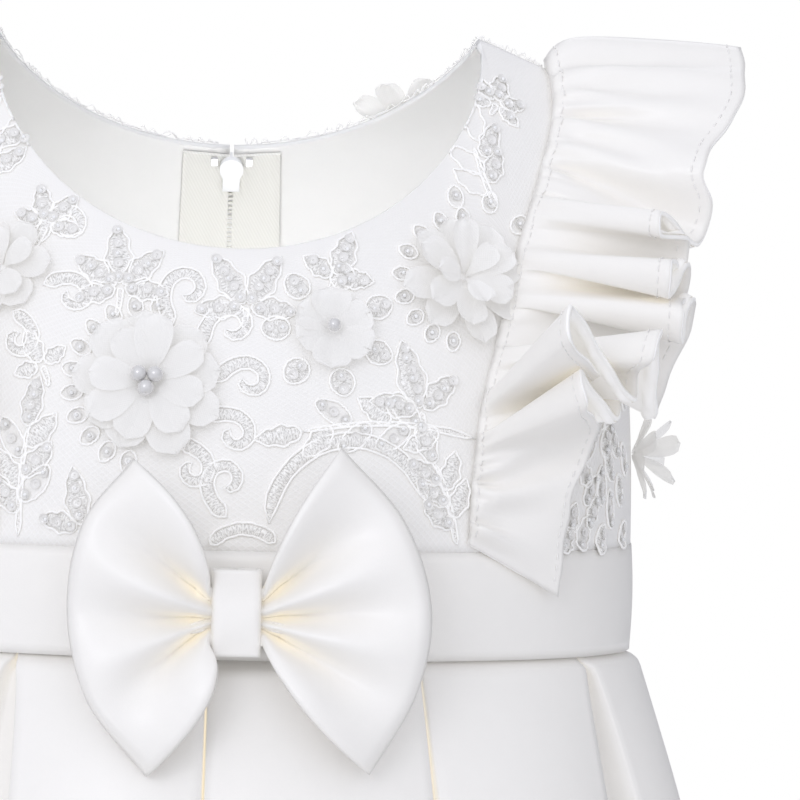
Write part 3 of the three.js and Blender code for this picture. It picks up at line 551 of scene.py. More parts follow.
def pleat_turn(pleat, across, aside, below):
    middle = math.radians(pleat.turn)
    mouth = PLEAT_MOUTH + pleat.hem_mouth * (max(below, 0) / SKIRT_LENGTH) ** pleat.late
    wide = value_at(SKIRT, "below", "half_width", below) * math.cos(middle)
    deep = value_at(SKIRT, "below", "front", below) * math.sin(middle)
    return middle + (across * mouth + aside) / math.hypot(wide, deep)


def pleat_columns(pleat, sides):
    """Columns of a pleat: each is a function from the length below the waist to a turn and a stand-off."""
    columns = []
    for side in sides:
        section = HALF_SECTION
        if side < 0:
            shared_middle = len(sides) > 1
            section = list(reversed(HALF_SECTION[1:] if shared_middle else HALF_SECTION))
        for across, aside, depth in section:

            def column(below, across=side * across, aside=side * aside, depth=depth):
                stand_off = -depth * value_at(SKIRT, "below", "pleat_depth", below)
                return pleat_turn(pleat, across, aside, below), stand_off

            columns.append(column)
    return columns


def panel_columns(first, second, start=0.0, end=1.0):
    columns = []
    steps = PANEL_STEPS if end - start > 0.9 else PANEL_STEPS * 2
    for k in range(steps + 1):
        share = k / steps
        inside = start <= share <= end and 0 < share < 1
        if not inside:
            continue

        def column(below, share=share):
            left = pleat_turn(first, 1, FOLD_EDGE, below)
            right = pleat_turn(second, -1, -FOLD_EDGE, below)
            if right < left:
                right += 2 * math.pi
            swell = 4 * share * (1 - share) * value_at(SKIRT, "below", "swell", below)
            return lerp(left, right, share), swell

        columns.append(column)
    return columns


def columns_between(first, last):
    columns = pleat_columns(PLEATS[first], (1,))
    for k in range(first + 1, last + 1):
        columns += panel_columns(PLEATS[k - 1], PLEATS[k])
        columns += pleat_columns(PLEATS[k], (-1,) if k == last else (-1, 1))
    return columns


print("skirt:", len(PLEATS), "pleats")

# %% Skirt panels
SKIRT_ROWS = 60
SKIRT_LAP = 0.5
SKIRT_TUCK = 2.2
SKIRT_TUCK_LENGTH = 3.0
SKIRT_SEAM = 0.05


def skirt_place(columns):
    def place(u, v):
        k = round(u * (len(columns) - 1))
        below = SKIRT_LENGTH * (1 - v) ** 1.8 - SKIRT_LAP * v
        turn, stand_off = columns[k](below)
        stand_off -= SKIRT_TUCK * max(0, 1 - below / SKIRT_TUCK_LENGTH) ** 2
        seam = SKIRT_SEAM / value_at(SKIRT, "below", "front", below)
        turn += seam if k == 0 else -seam if k == len(columns) - 1 else 0
        return skirt_point(turn, below, stand_off)

    return place


right_side, left_side, last = 2, 8, len(PLEATS) - 1
left_back = columns_between(left_side, last)[: -len(HALF_SECTION)]
left_back += pleat_columns(PLEATS[last], (-1, 1)) + panel_columns(PLEATS[last], PLEATS[0], 0, 0.5)
right_back = panel_columns(PLEATS[last], PLEATS[0], 0.5, 1) + pleat_columns(PLEATS[0], (-1, 1))
right_back += columns_between(0, right_side)[len(HALF_SECTION) :]
for node, columns, flat in (
    ("skirt_front", columns_between(right_side, left_side), (0.66, 0.382)),
    ("skirt_back_left", left_back, (0.33, 0.382)),
    ("skirt_back_right", right_back, (0.33, 0.382)),
):
    place = skirt_place(columns)
    skirt = cloth(node + "_cloth", len(columns) - 1, SKIRT_ROWS, place, flat, (SATIN,), SKIRT_WALL)
    sewn(skirt, node, flat)

# %% [markdown]
# ## Flutter sleeves
# Each sleeve is a gathered strip of satin, sewn along a line from the front waist over the shoulder to
# the back waist. Its free edge is much longer than its seam, so it waves. A table follows that edge
# from crest to hollow, and straight rulings join it to the seam. Fine gathers start at the seam and die
# out at uneven lengths, a second table adds the long folds that run on towards the edge, and a narrow
# hem is turned up behind it.

# %% Sleeve measurements
SeamRow = namedtuple("SeamRow", "drop turn")
RUFFLE_SEAM = [
    SeamRow(0, 64),
    SeamRow(14, 60),
    SeamRow(27, 54.5),
    SeamRow(48, 46),
    SeamRow(63, 42),
    SeamRow(87, 36.6),
    SeamRow(105, 34.8),
    SeamRow(120, 34.3),
]
EdgeRow = namedtuple("EdgeRow", "root x y z")
RUFFLE_EDGE = [
    EdgeRow(-120, 78.7, -52, -133),
    EdgeRow(-113, 79.4, -56, -118),
    EdgeRow(-106, 81.6, -60, -106),
    EdgeRow(-101, 86.2, -60, -93.4),
    EdgeRow(-96.5, 81, -87, -81),
    EdgeRow(-92, 90.5, -65, -86),
    EdgeRow(-87, 77, -97, -65.3),
    EdgeRow(-81, 95, -65, -81.4),
    EdgeRow(-75.5, 98.6, -79, -71),
    EdgeRow(-70.5, 101.5, -50, -87),
    EdgeRow(-66, 109, -50, -64),
    EdgeRow(-62, 105.5, -66, -67),
    EdgeRow(-57.5, 108, -48, -56),
    EdgeRow(-52.5, 102.5, -66, -56),
    EdgeRow(-46.5, 108, -44, -50.5),
    EdgeRow(-40, 100.6, -57, -42.7),
    EdgeRow(-32, 113, -37, -43),
    EdgeRow(-24, 111.5, -36, -30),
    EdgeRow(-13, 121.5, -20, -14.5),
    EdgeRow(0, 123, 0, -0.6),
    EdgeRow(13, 120, 21, -16),
    EdgeRow(26, 113, 38, -30),
    EdgeRow(40, 109, 44, -52),
    EdgeRow(52, 104, 68, -50),
    EdgeRow(63, 106, 57, -76),
    EdgeRow(74, 93, 86, -68),
    EdgeRow(86, 97, 63, -92),
    EdgeRow(97, 84, 88, -92),
    EdgeRow(108, 86, 63, -114),
    EdgeRow(120, 79, 56, -133),
]
CREST_ROUND = 4.6
HOLLOW_ROUND = 3.0
SHARP_TURN = math.radians(75)
SHOULDER_ROOM = 0.5
SEAM_TURN = 12
SEAM_END = 120
CREASE_END = 119.0


def ruffle_seam(root):
    drop = abs(root)
    front = math.radians(value_at(RUFFLE_SEAM, "drop", "turn", drop))
    turn = math.pi - front if root > 0 else front
    stand_off = SEAM_GAP + RUFFLE_WALL + SHOULDER_ROOM * math.exp(-drop / SEAM_TURN)
    place = on_figure(turn, drop, stand_off)
    if drop < 1:
        place.y *= drop
    return place


def place_of(row):
    return Vector((row.x, row.y, row.z))


def rounded_folds(rows):
    """Rounds each sharp crest and hollow: three points on an arc in place of one."""
    points = [(rows[0].root, place_of(rows[0]))]
    for before, row, after in zip(rows, rows[1:], rows[2:]):
        here = place_of(row)
        coming, going = here - place_of(before), place_of(after) - here
        if coming.angle(going) < SHARP_TURN:
            points.append((row.root, here))
            continue
        line = here - place_of(before).lerp(place_of(after), 0.5)
        along = (here - ruffle_seam(row.root)).cross(line)
        if along.dot(place_of(after) - place_of(before)) < 0:
            along.negate()
        crest = line.x * row.x + line.y * row.y > 0
        round_by = CREST_ROUND if crest else HOLLOW_ROUND
        along = along.normalized() * round_by
        points.append((lerp(row.root, before.root, 0.25), here - along))
        points.append((row.root, here + line.normalized() * (round_by * 0.45)))
        points.append((lerp(row.root, after.root, 0.25), here + along))
    points.append((rows[-1].root, place_of(rows[-1])))
    return points


def spline_point(points, place):
    """Centripetal Catmull-Rom curve through points, at a place counted in points."""
    last = len(points) - 1
    k = min(int(place), last - 1)
    q = place - k
    p1, p2 = points[k], points[k + 1]
    p0 = points[k - 1] if k else p1 * 2 - p2
    p3 = points[k + 2] if k + 2 <= last else p2 * 2 - p1
    d0, d1, d2 = (max((b - a).length, 1e-4) ** 0.5 for a, b in ((p0, p1), (p1, p2), (p2, p3)))
    t1 = (p1 - p0) / d0 - (p2 - p0) / (d0 + d1) + (p2 - p1) / d1
    t2 = (p2 - p1) / d1 - (p3 - p1) / (d1 + d2) + (p3 - p2) / d2
    t1, t2 = t1 * d1, t2 * d1
    c2 = (p2 - p1) * 3 - t1 * 2 - t2
    c3 = (p1 - p2) * 2 + t1 + t2
    return p1 + t1 * q + c2 * q * q + c3 * q * q * q


def clear_of_figure(point, clearance):
    drop = -point.z - shoulder_fall(point.x, -point.z)
    if drop < 3:
        return point
    depth = "front" if point.y < 0 else "back"
    wide = value_at(FIGURE, "drop", "half_width", drop) + clearance
    deep = value_at(FIGURE, "drop", depth, drop) + clearance
    inside = math.hypot(point.x / wide, point.y / deep)
    return point if inside >= 1 else Vector((point.x / inside, point.y / inside, point.z))


EDGE = rounded_folds(RUFFLE_EDGE)
EDGE_PLACES = [place for root, place in EDGE]
EDGE_ROOTS = [Vector((root, 0, 0)) for root, place in EDGE]
print("sleeve edge:", len(EDGE), "points")

# %% Gathers by the seam
Crease = namedtuple("Crease", "root half reach slant")


def creases(seed):
    """Fine creases that start at the gathered seam, a few millimetres apart, and die out unevenly."""
    chance = random.Random(seed)
    root = -CREASE_END
    while root < CREASE_END:
        reach = chance.choice((0.22, 0.3, 0.4, 0.6, 0.85))
        yield Crease(root, chance.uniform(0.45, 0.8), reach, chance.uniform(-2, 3))
        root += chance.uniform(2.6, 5.4)


CREASES = list(creases(5))
LongFold = namedtuple("LongFold", "root depth half reach slant")
LONG_FOLDS = [
    LongFold(-113, 3.6, 1.8, 0.9, 4),
    LongFold(-106.5, 4.2, 1.7, 1.0, 5),
    LongFold(-100, 3.4, 1.5, 0.9, 4),
    LongFold(-27, 5.6, 1.7, 1.4, -7),
    LongFold(-19, 4.4, 1.3, 0.8, -6),
    LongFold(-13.5, 5.0, 1.4, 1.2, -5),
    LongFold(-8, 4.4, 1.1, 0.9, -3),
    LongFold(-3.5, 4.0, 1.2, 1.3, -1),
    LongFold(10, 4.4, 1.4, 1.1, 4),
    LongFold(20, 4.6, 1.6, 1.2, 6),
]
GATHER_RISE = 3.2
WAIST_GATHER_RISE = 4.5
FOLDED_PART = (36, 98)


def gathered(root, v):
    """How far the cloth puffs out between its creases."""
    full = lerp(GATHER_RISE, WAIST_GATHER_RISE, ease((abs(root) - 90) / 12))
    folded = ease((abs(root) - FOLDED_PART[0]) / 6) * ease((FOLDED_PART[1] - abs(root)) / 6)
    full *= 1 - 0.7 * folded
    drawn = 0.0
    for crease in CREASES:
        away = (root - crease.root - crease.slant * v) / (crease.half + 2.2 * v)
        if abs(away) < 2.6 and v < crease.reach:
            drawn += math.exp(-away * away) * (1 - v / crease.reach)
    return full * (1 - math.exp(-v / 0.07)) * (1 - v) ** 0.8 * (1 - min(1, drawn))


def long_folds(root, v):
    """How far the long soft folds sink: they start at the seam and run on towards the free edge."""
    sunk = 0.0
    for fold in LONG_FOLDS:
        away = (root - fold.root - fold.slant * v) / (fold.half + 1.3 * v)
        sunk += fold.depth * math.exp(-away * away) * max(0.0, 1 - (v / fold.reach) ** 2)
    return sunk * (1 - math.exp(-v / 0.12))


print("creases:", len(CREASES), "and", len(LONG_FOLDS), "long folds")

# %% The two sleeves
RUFFLE_COLUMNS = 520
RUFFLE_ROWS = 30
SHOULDER_PUFF = 4.6
SIDE_PUFF = 0.6
EDGE_WAVER = 0.25
EDGE_WAVES = ((420, 0), (173, 1.2))
HEM_FROM, HEM_TO = 0.915, 0.985
HEM_ROWS = 4
PUCKER = 0.45
PUCKER_WAVE, PUCKER_DRIFT = 610, 47

EDGE_RUN = [0.0]
for (root_a, tip_a), (root_b, tip_b) in zip(EDGE, EDGE[1:]):
    EDGE_RUN.append(EDGE_RUN[-1] + max((tip_b - tip_a).length, 2 * abs(root_b - root_a)))


def edge_place(share):
    """Place along the edge's points at a share of its length, so that the grid's columns are even."""
    run = clamp(share) * EDGE_RUN[-1]
    k = max(1, next(k for k, reached in enumerate(EDGE_RUN) if reached >= run))
    return k - 1 + (run - EDGE_RUN[k - 1]) / (EDGE_RUN[k] - EDGE_RUN[k - 1])


def ruffle_point(u, v):
    """Wearer's left sleeve: u runs from the back waist to the front waist, v from seam to free edge."""
    place = edge_place(1 - u)
    seam = clamp(spline_point(EDGE_ROOTS, place).x, -SEAM_END, SEAM_END)
    root, tip = ruffle_seam(seam), spline_point(EDGE_PLACES, place)
    on_top = math.exp(-((seam / 10) ** 2))
    out = Vector((0.3, math.copysign(1, seam), 0.25)).lerp(Vector((0, 0, 1)), on_top).normalized()
    puff = lerp(SIDE_PUFF, SHOULDER_PUFF, on_top) * (1 - v) * (1 - math.exp(-v / 0.08))
    puff = (puff + gathered(seam, v) - long_folds(seam, v)) * ease((SEAM_END + 0.5 - abs(seam)) / 5)
    waver = EDGE_WAVER * v**5 * sum(math.sin(wave * u + phase) for wave, phase in EDGE_WAVES)
    reach = v * (1 + waver / (tip - root).length)
    return clear_of_figure(root.lerp(tip, reach) + out * puff, SEAM_GAP + RUFFLE_WALL + 2 * v)


def mirrored(place):
    """The same sleeve for the other shoulder, with u turned round so that its right side is outside."""

    def other(u, v):
        point = place(1 - u, v)
        return Vector((-point.x, point.y, point.z))

    return other


def hem_place(place):
    """The turned hem: a narrow puckered strip behind the free edge."""

    def behind(u, v):
        u = clamp(u, 0.003, 0.997)
        back = lerp(HEM_FROM, HEM_TO, v)
        along = place(u + 0.002, back) - place(u - 0.002, back)
        out = along.cross(place(u, back + 0.012) - place(u, back - 0.012)).normalized()
        wave = math.sin(PUCKER_WAVE * u + 4 * math.sin(PUCKER_DRIFT * u))
        pucker = PUCKER * wave * math.sin(math.pi * v)
        return place(u, back) - out * (RUFFLE_WALL + 0.3 + 0.5 * math.sin(math.pi * v) + pucker)

    return behind


WRONG_SIDE = satin_finish("satin_wrong_side", (0.96, 0.945, 0.915), 0.62, thin_glow=0.1)
RUFFLE_FLAT = (0.52, 0.043)
HEM_DEPTH = 0.003
for node, place in (("ruffle_left", ruffle_point), ("ruffle_right", mirrored(ruffle_point))):
    sides = (SATIN, WRONG_SIDE)
    sleeve = cloth(node + "_cloth", RUFFLE_COLUMNS, RUFFLE_ROWS, place, RUFFLE_FLAT, sides, RUFFLE_WALL, 1)
    hem_flat = (RUFFLE_FLAT[0], HEM_DEPTH)
    hem = cloth(node + "_hem", RUFFLE_COLUMNS, HEM_ROWS, hem_place(place), hem_flat, (WRONG_SIDE,))
    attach(hem, BODY)
    sewn(sleeve, node, RUFFLE_FLAT)

# %% [markdown]
# ## Bow
# The bow is two flat double layers of satin, pinched in the middle by a band. Seen from the front each
# half is a fan of rays from the knot to the rim. Folds start deep at the knot and smooth out towards
# the rim, and the cloth puffs up between them.

# %% The bow's two halves
Ray = namedtuple("Ray", "row start_z mid_x mid_z end_x end_z rise")
BOW_RIGHT = [
    Ray(0, -7.6, 1.5, -16.5, -20.5, -39, 13),
    Ray(1, -4.4, -20, -14, -35, -21, 13),
    Ray(2, -1, -22, 0, -40, 0.5, 13),
    Ray(3, 2.4, -20, 13, -36.5, 21, 13),
    Ray(4, 6, -7.4, 23, -25, 36, 11),
]
BOW_LEFT = [
    Ray(0, -7.6, 13, -22, 32.2, -37.5, 13),
    Ray(1, -4.4, 22, -13, 43, -18, 13),
    Ray(2, -1, 23, 1, 46, 1.5, 14),
    Ray(3, 2.4, 20, 14, 39.5, 22, 13),
    Ray(4, 6, 9.5, 22, 24, 39.5, 11),
]
BOW_CENTRE = Vector((0.7, 0, -136))
BOW_PUFF = 11
RIM_ROLL = 1.6
Valley = namedtuple("Valley", "place drift depth half reach")
RIGHT_VALLEYS = [
    Valley(0.29, -0.12, 15, 0.06, 0.95),
    Valley(0.46, 0.04, 15, 0.055, 1.1),
    Valley(0.75, 0.05, 15, 0.065, 1.05),
]
LEFT_VALLEYS = [
    Valley(0.28, -0.08, 15, 0.06, 1.05),
    Valley(0.48, 0.04, 15, 0.055, 1.05),
    Valley(0.76, 0.05, 15, 0.065, 1.1),
]
BOW_WALL = 2.4
KNOT_WIDTH, KNOT_DEPTH, KNOT_WALL = 12, 9.4, 1.6
KNOT_STAND_OFF = 1.4
BOW_START_X = 0.5
BOW_COLUMNS, BOW_ROWS = 64, 100
BOW_WEAVE = (0.05, 0.075)
BOW_FLAT = (0.046, 0.062)
BAND_FRONT = value_at(FIGURE, "drop", "front", -BOW_CENTRE.z)


def ray_place(ray, side, share):
    if share < 0:
        inside = 1 + share
        return Vector((side * lerp(BOW_START_X, KNOT_WIDTH / 2 + SEAM_GAP, inside), ray.start_z, 0))
    start = Vector((side * (KNOT_WIDTH / 2 + SEAM_GAP), ray.start_z, 0))
    mid, end = Vector((ray.mid_x, ray.mid_z, 0)), Vector((ray.end_x, ray.end_z, 0))
    return start * (1 - share) ** 2 + mid * (2 * share * (1 - share)) + end * share**2


def valleys_at(valleys, v, outside):
    """Depth of the folds: sharp creases by the knot that widen into soft troughs towards the rim."""
    depth = 0.0
    blunt = 1.2 + 0.7 * min(1, outside / 0.5)
    for valley in valleys:
        place = valley.place + valley.drift * outside
        away = abs(v - place) / (valley.half * (1 + 1.7 * outside))
        fade = max(0.0, 1 - (outside / valley.reach) ** 2.2)
        depth += valley.depth * math.exp(-(away**blunt)) * min(1, 0.3 + 6 * outside) * fade
    return depth


def rim_roll(v, outside):
    """The folded edge of the double cloth rolls back a little."""
    near_rim = max(0.0, (outside - 0.93) / 0.07)
    near_side = max(0.0, (abs(2 * v - 1) - 0.94) / 0.06) * min(1, outside / 0.3)
    return RIM_ROLL * (near_rim**2 + near_side**2)


def bow_place(rays, side, valleys):
    pinch = KNOT_STAND_OFF + KNOT_DEPTH - KNOT_WALL - SEAM_GAP

    def place(u, v):
        along = u if side > 0 else 1 - u
        share = along * 1.1 - 0.1
        if share < 0:
            share *= 10
        ends = [ray_place(ray, side, share) for ray in rays]
        spot = spline_point(ends, v * (len(ends) - 1))
        outside = max(share, 0)
        rise = value_at(rays, "row", "rise", v * (len(rays) - 1))
        puff = BOW_PUFF * (4 * outside * (1 - outside)) ** 0.7
        sunk = valleys_at(valleys, v, outside) + rim_roll(v, outside)
        stand_off = lerp(pinch, rise, outside) + puff - sunk
        return Vector((BOW_CENTRE.x + spot.x, -BAND_FRONT - stand_off, BOW_CENTRE.z + spot.y))

    return place


for node, rays, side, valleys in (
    ("bow_loop_right", BOW_RIGHT, -1, RIGHT_VALLEYS),
    ("bow_loop_left", BOW_LEFT, 1, LEFT_VALLEYS),
):
    place = bow_place(rays, side, valleys)
    loop = cloth(node + "_cloth", BOW_COLUMNS, BOW_ROWS, place, BOW_WEAVE, (SATIN,), BOW_WALL * 0.8)
    sewn(loop, node, BOW_FLAT)

# %% [markdown]
# ## The knot
# The band round the middle of the bow is a strip of satin folded round the loops and closed behind. It
# is a box ring with soft corners, a little narrower in its middle, and a faint wave in the front shows
# where it is drawn in.

# %% The bow's knot
low, high = (Vector(corner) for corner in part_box("bow_knot"))
SOFT_CORNER = 0.32


def knot_place(u, v):
    """A soft ring round the pinch: u runs along the strip, v across its height."""
    angle = (u - 0.5) * 2 * math.pi
    middle = (low + high) * (0.5 / MM)
    half = (high - low) * (0.5 / MM)
    side = math.copysign(abs(math.sin(angle)) ** SOFT_CORNER, math.sin(angle))
    front = -math.copysign(abs(math.cos(angle)) ** SOFT_CORNER, math.cos(angle))
    height = 2 * v - 1
    waist = 1 - 0.06 * (1 - height * height) * max(0, -front)
    dip = 0.35 * math.sin(9 * v + 1.3) * max(0, -front) * (1 - side * side)
    x = middle.x + half.x * side * waist
    y = middle.y + half.y * front + dip
    return Vector((x, y, middle.z + half.z * height))


knot = cloth("bow_knot_cloth", 72, 24, knot_place, (0.043, 0.0205), (SATIN,), KNOT_WALL * 0.9)
sewn(knot, "bow_knot", (0.042, 0.0205))

# %% [markdown]
# ## Trims: cord, satin stitch, sequins, pearls
# The lace is corded: a thick thread is couched round every motif, and the inside is filled with bright
# satin stitch or with clear sequins. The stitch finish is noise stretched along the thread, with painted
# glints and painted shade between the threads in its colour, so it glitters unevenly. Cord and stitch
# also carry a faint painted glow that keeps them white.


# %% Finishes of the trims
def stitch_finish():
    finish = Finish("satin_stitch", Specular_IOR_Level=0.6)
    # painted glow: the stitch shines a little on its own, so the fill reads white
    finish.use(Emission_Color=(1, 1, 1, 1), Emission_Strength=0.07)
    along, across = finish.along(1.0)
    thread = finish.node("CombineXYZ", X=along * 2600.0, Y=across * 1000.0)
    streak = finish.node("TexNoise", Vector=thread, Scale=1.0, Detail=2.0, Roughness=0.7)
    # painted glints and shade: bright and grey specks in the colour stand for light catching the threads and
    # shade between them
    share = ((streak - 0.37) * 4.5).clipped()
    return finish.use(
        Base_Color=finish.mix(share, (0.6, 0.584, 0.555, 1), (1.0, 0.986, 0.955, 1)),
        Roughness=0.42 - 0.15 * streak,
        Normal=finish.bump(streak, 0.8, 0.0005),
    )


def cord_finish():
    finish = Finish("lace_cord", Specular_IOR_Level=0.5)
    # painted glow: the cord shines a little on its own, so it reads white
    finish.use(Emission_Color=(1, 1, 0.98, 1), Emission_Strength=0.08)
    along, across = finish.along(1.0)
    twist = ((along * 900.0 + across * 500.0) * (2 * math.pi)).math("SINE") * 0.5 + 0.5
    return finish.use(
        Base_Color=finish.mix(twist, (0.96, 0.949, 0.925, 1), (1.0, 0.988, 0.96, 1)),
        Roughness=0.5 - 0.12 * twist,
        Normal=finish.bump(twist, 0.5, 0.0001),
    )


def chiffon_finish():
    finish = Finish("chiffon", Sheen_Weight=0.2, Specular_IOR_Level=0.2, Alpha=0.78)
    finish.use(Emission_Color=THIN_CLOTH_LIGHT, Emission_Strength=0.1)
    along, across = finish.along(2 * math.pi / 0.0007)
    weave = along.math("SINE") * across.math("SINE") * 0.5 + 0.5
    return finish.use(
        Base_Color=finish.mix(weave, (0.825, 0.814, 0.79, 1), (0.865, 0.853, 0.829, 1)),
        Roughness=0.75 - 0.1 * weave,
        Normal=finish.bump(weave, 0.3, 0.0001),
    )


STITCH = stitch_finish()
CORD = cord_finish()
CHIFFON = chiffon_finish()
SEQUIN = Finish("clear_sequin", Base_Color=(0.86, 0.845, 0.815, 1), Roughness=0.2, Coat_Weight=0.5).material
BEAD = Finish("glass_bead", Base_Color=(0.94, 0.94, 0.93, 1), Roughness=0.14, Coat_Weight=0.6).material
PEARL = Finish(
    "pearl", Base_Color=(0.7, 0.69, 0.68, 1), Metallic=0.25, Roughness=0.12, Coat_Weight=1.0
).material
print("trims:", [m.name for m in (STITCH, CORD, CHIFFON, SEQUIN, BEAD, PEARL)])

# %% [markdown]
# ## A language for lace
# Every motif is a band along a bending centreline: a leaf is short and pointed, a scroll is long and
# curls up, a stem is thin. A Motif says where it starts on the panel, which way it heads (0 is towards
# the wearer's left, 90 is down), how long and wide it is, how far it bends, and what fills it. The
# motifs are common leaf, pod and scroll shapes of this lesson's own drawing.

# %% Motif shapes
Motif = namedtuple("Motif", "x drop heading length width bend shape fill")
Patch = namedtuple("Patch", "turn drop sign across down")
SIDE_STEPS = 18
BAND_LIFT = 0.8
CORD_RADIUS = 0.31
CORD_SIDES = 5
FILL_ROWS = 4
FILL_SHARE = 0.74
FILL_LIFT = 0.12
FILL_HEIGHT = 0.5
SCROLL_QUICKEN = 1.9


def patch_at(x, drop, back=False):
    """A motif's own flat patch of a panel: where it starts and how far the panel runs there."""
    turn = math.pi - turn_at(x, drop) if back else turn_at(x, drop)
    across = (figure_point(turn + 0.01, drop) - figure_point(turn - 0.01, drop)).length / 0.02
    down = (figure_point(turn, drop + 0.5) - figure_point(turn, drop - 0.5)).length
    return Patch(turn, drop, -1 if back else 1, across, down)


def lace_spot(patch, spot, lift):
    """A point of the patch on the panel, kept below the top edge, and the panel's outward direction."""
    turn = patch.turn + patch.sign * spot[0] / patch.across
    drop = patch.drop + spot[1] / patch.down
    side = abs(math.pi - turn) if patch.sign < 0 else abs(turn)
    neck = BACK_NECK if patch.sign < 0 else FRONT_NECK
    drop = clamp(drop, top_edge(min(side, QUARTER), neck) + 0.5, WAIST_TOP + 5)
    out = figure_normal(turn, drop)
    over_band = BAND_LIFT * ease((drop - WAIST_TOP + 2) / 2)
    return figure_point(turn, drop) + out * (lift + over_band), out


def half_width(shape, share):
    end = min(1, (min(share, 1 - share) / 0.1) ** 0.5) if 0 < share < 1 else 0
    profiles = {
        "leaf": math.sin(math.pi * share**0.8) ** 0.75 * (1 + 0.12 * math.sin(6 * math.pi * share)),
        "pod": math.sin(math.pi * share**0.9) ** 0.55,
        "band": end,
        "scroll": end * (1 - 0.35 * share),
        "stem": end * (1 - 0.55 * share),
    }
    return profiles[shape]


def centreline(motif, steps):
    """Points and headings along a motif, from its start."""
    spot, points = Vector((0, 0)), []
    quicken = SCROLL_QUICKEN if motif.shape == "scroll" else 1.0
    for k in range(steps + 1):
        share = k / steps
        heading = math.radians(motif.heading + motif.bend * share**quicken)
        points.append((share, spot.copy(), heading))
        spot += Vector((math.cos(heading), math.sin(heading))) * (motif.length / steps)
    return points


def outline(motif, chance):
    """The closed line that the cord follows, in the motif's patch."""
    sides = ([], [])
    for share, spot, heading in centreline(motif, SIDE_STEPS):
        half = motif.width / 2 * half_width(motif.shape, share)
        aside = Vector((-math.sin(heading), math.cos(heading)))
        for side, line in zip((1, -1), sides):
            line.append(spot + aside * side * (half + chance.uniform(-0.12, 0.12)))
    return sides[0] + list(reversed(sides[1]))[1:-1]


def smooth(verts):
    for face in {face for vert in verts for face in vert.link_faces}:
        face.smooth = True


def tube(bm, weave, path, radius, sides=CORD_SIDES, closed=True):
    """A cord along (point, outward) pairs: a grid rolled up round the path."""
    count = len(path)
    steps = count if closed else count - 1
    made = bmesh.ops.create_grid(bm, x_segments=steps, y_segments=sides, size=0.5)["verts"]
    rings = []
    length = 0.0
    for k in range(steps + 1):
        point, out = path[k % count]
        ahead, behind = path[(k + 1) % count][0], path[k - 1][0]
        if not closed:
            ahead, behind = path[min(k + 1, count - 1)][0], path[max(k - 1, 0)][0]
        aside = (ahead - behind).cross(out).normalized()
        rings.append((point, out, aside, length))
        length += (path[(k + 1) % count][0] - point).length
    for vert in made:
        k = round((vert.co.x + 0.5) * steps)
        around = (vert.co.y + 0.5) * 2 * math.pi
        point, out, aside, run = rings[k]
        for loop in vert.link_loops:
            loop[weave].uv = (run * MM, around * radius * MM)
        vert.co = (point + (out * math.cos(around) + aside * math.sin(around)) * radius) * MM
    smooth(made)


def fill_pad(bm, weave, motif, patch):
    """Raised satin stitch between the cords."""
    line = centreline(motif, SIDE_STEPS)
    made = bmesh.ops.create_grid(bm, x_segments=SIDE_STEPS, y_segments=FILL_ROWS, size=0.5)["verts"]
    for vert in made:
        share, spot, heading = line[round((vert.co.x + 0.5) * SIDE_STEPS)]
        across = 2 * vert.co.y
        half = FILL_SHARE * motif.width / 2 * half_width(motif.shape, share)
        aside = Vector((-math.sin(heading), math.cos(heading)))
        for loop in vert.link_loops:
            loop[weave].uv = (share * motif.length * MM + motif.x * MM, across * half * MM)
        lift = FILL_LIFT + FILL_HEIGHT * (1 - across * across) * min(1, half)
        vert.co = lace_spot(patch, spot + aside * across * half, lift)[0] * MM
    smooth(made)


def sequin_spots(motif, chance):
    count = max(1, int((motif.length - 1.2) / 2.6))
    line = centreline(motif, SIDE_STEPS)
    for k in range(count):
        share, spot, heading = line[round((k + 0.62) / (count + 0.24) * SIDE_STEPS)]
        yield spot + Vector((chance.uniform(-0.25, 0.25), chance.uniform(-0.25, 0.25)))


print("motif language ready")

# %% Mesh pieces that gather many small shapes
SEQUIN_RADIUS = 1.3
SEQUIN_HOLE = 0.36
SEQUIN_RISE = (0.1, 0.12, 0.5)
SEQUIN_LIFT = 0.15
SEQUIN_ON_STITCH_LIFT = 0.5
BEAD_RADIUS = 0.5
BEAD_LIFT = 0.75
CORD_LIFT = 0.3


def trim_piece(name, build, finish, slot, *nodes):
    """One mesh made by build(bm, weave), riding on the gown."""
    mesh = bpy.data.meshes.new(name)
    bm = bmesh.new()
    weave = bm.loops.layers.uv.new("weave")
    build(bm, weave)
    bmesh.ops.remove_doubles(bm, verts=bm.verts, dist=2e-6)
    bmesh.ops.recalc_face_normals(bm, faces=bm.faces)
    bm.to_mesh(mesh)
    bm.free()
    mesh.materials.append(finish)
    piece = linked(name, mesh)
    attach(piece, BODY)
    if nodes:
        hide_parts(*nodes)
    print(name, len(mesh.polygons), "faces")
    return piece


def turned_to(out, twist):
    """Rotation that sets a shape's +Z along the panel's outward direction."""
    return out.to_track_quat("Z", "Y").to_matrix().to_4x4() @ Matrix.Rotation(twist, 4, "Z")


def sequin(bm, point, out, chance):
    """A cupped disc with a hole: three rings of twelve points."""
    lean = out + Vector((chance.uniform(-0.16, 0.16), 0, chance.uniform(-0.16, 0.16)))
    place = Matrix.Translation(point * MM) @ turned_to(lean.normalized(), chance.uniform(0, 6))
    made = bmesh.ops.create_grid(bm, x_segments=12, y_segments=2, size=0.5)["verts"]
    for vert in made:
        angle = (vert.co.x + 0.5) * 2 * math.pi
        share = vert.co.y + 0.5
        reach = lerp(SEQUIN_HOLE, SEQUIN_RADIUS, share)
        rise = SEQUIN_RISE[round(share * 2)]
        vert.co = place @ (Vector((math.cos(angle) * reach, math.sin(angle) * reach, rise)) * MM)


def bead(bm, point, radius, segments=10, rings=6):
    made = bmesh.ops.create_uvsphere(bm, u_segments=segments, v_segments=rings, radius=radius * MM)["verts"]
    bmesh.ops.translate(bm, verts=made, vec=point * MM)
    smooth(made)


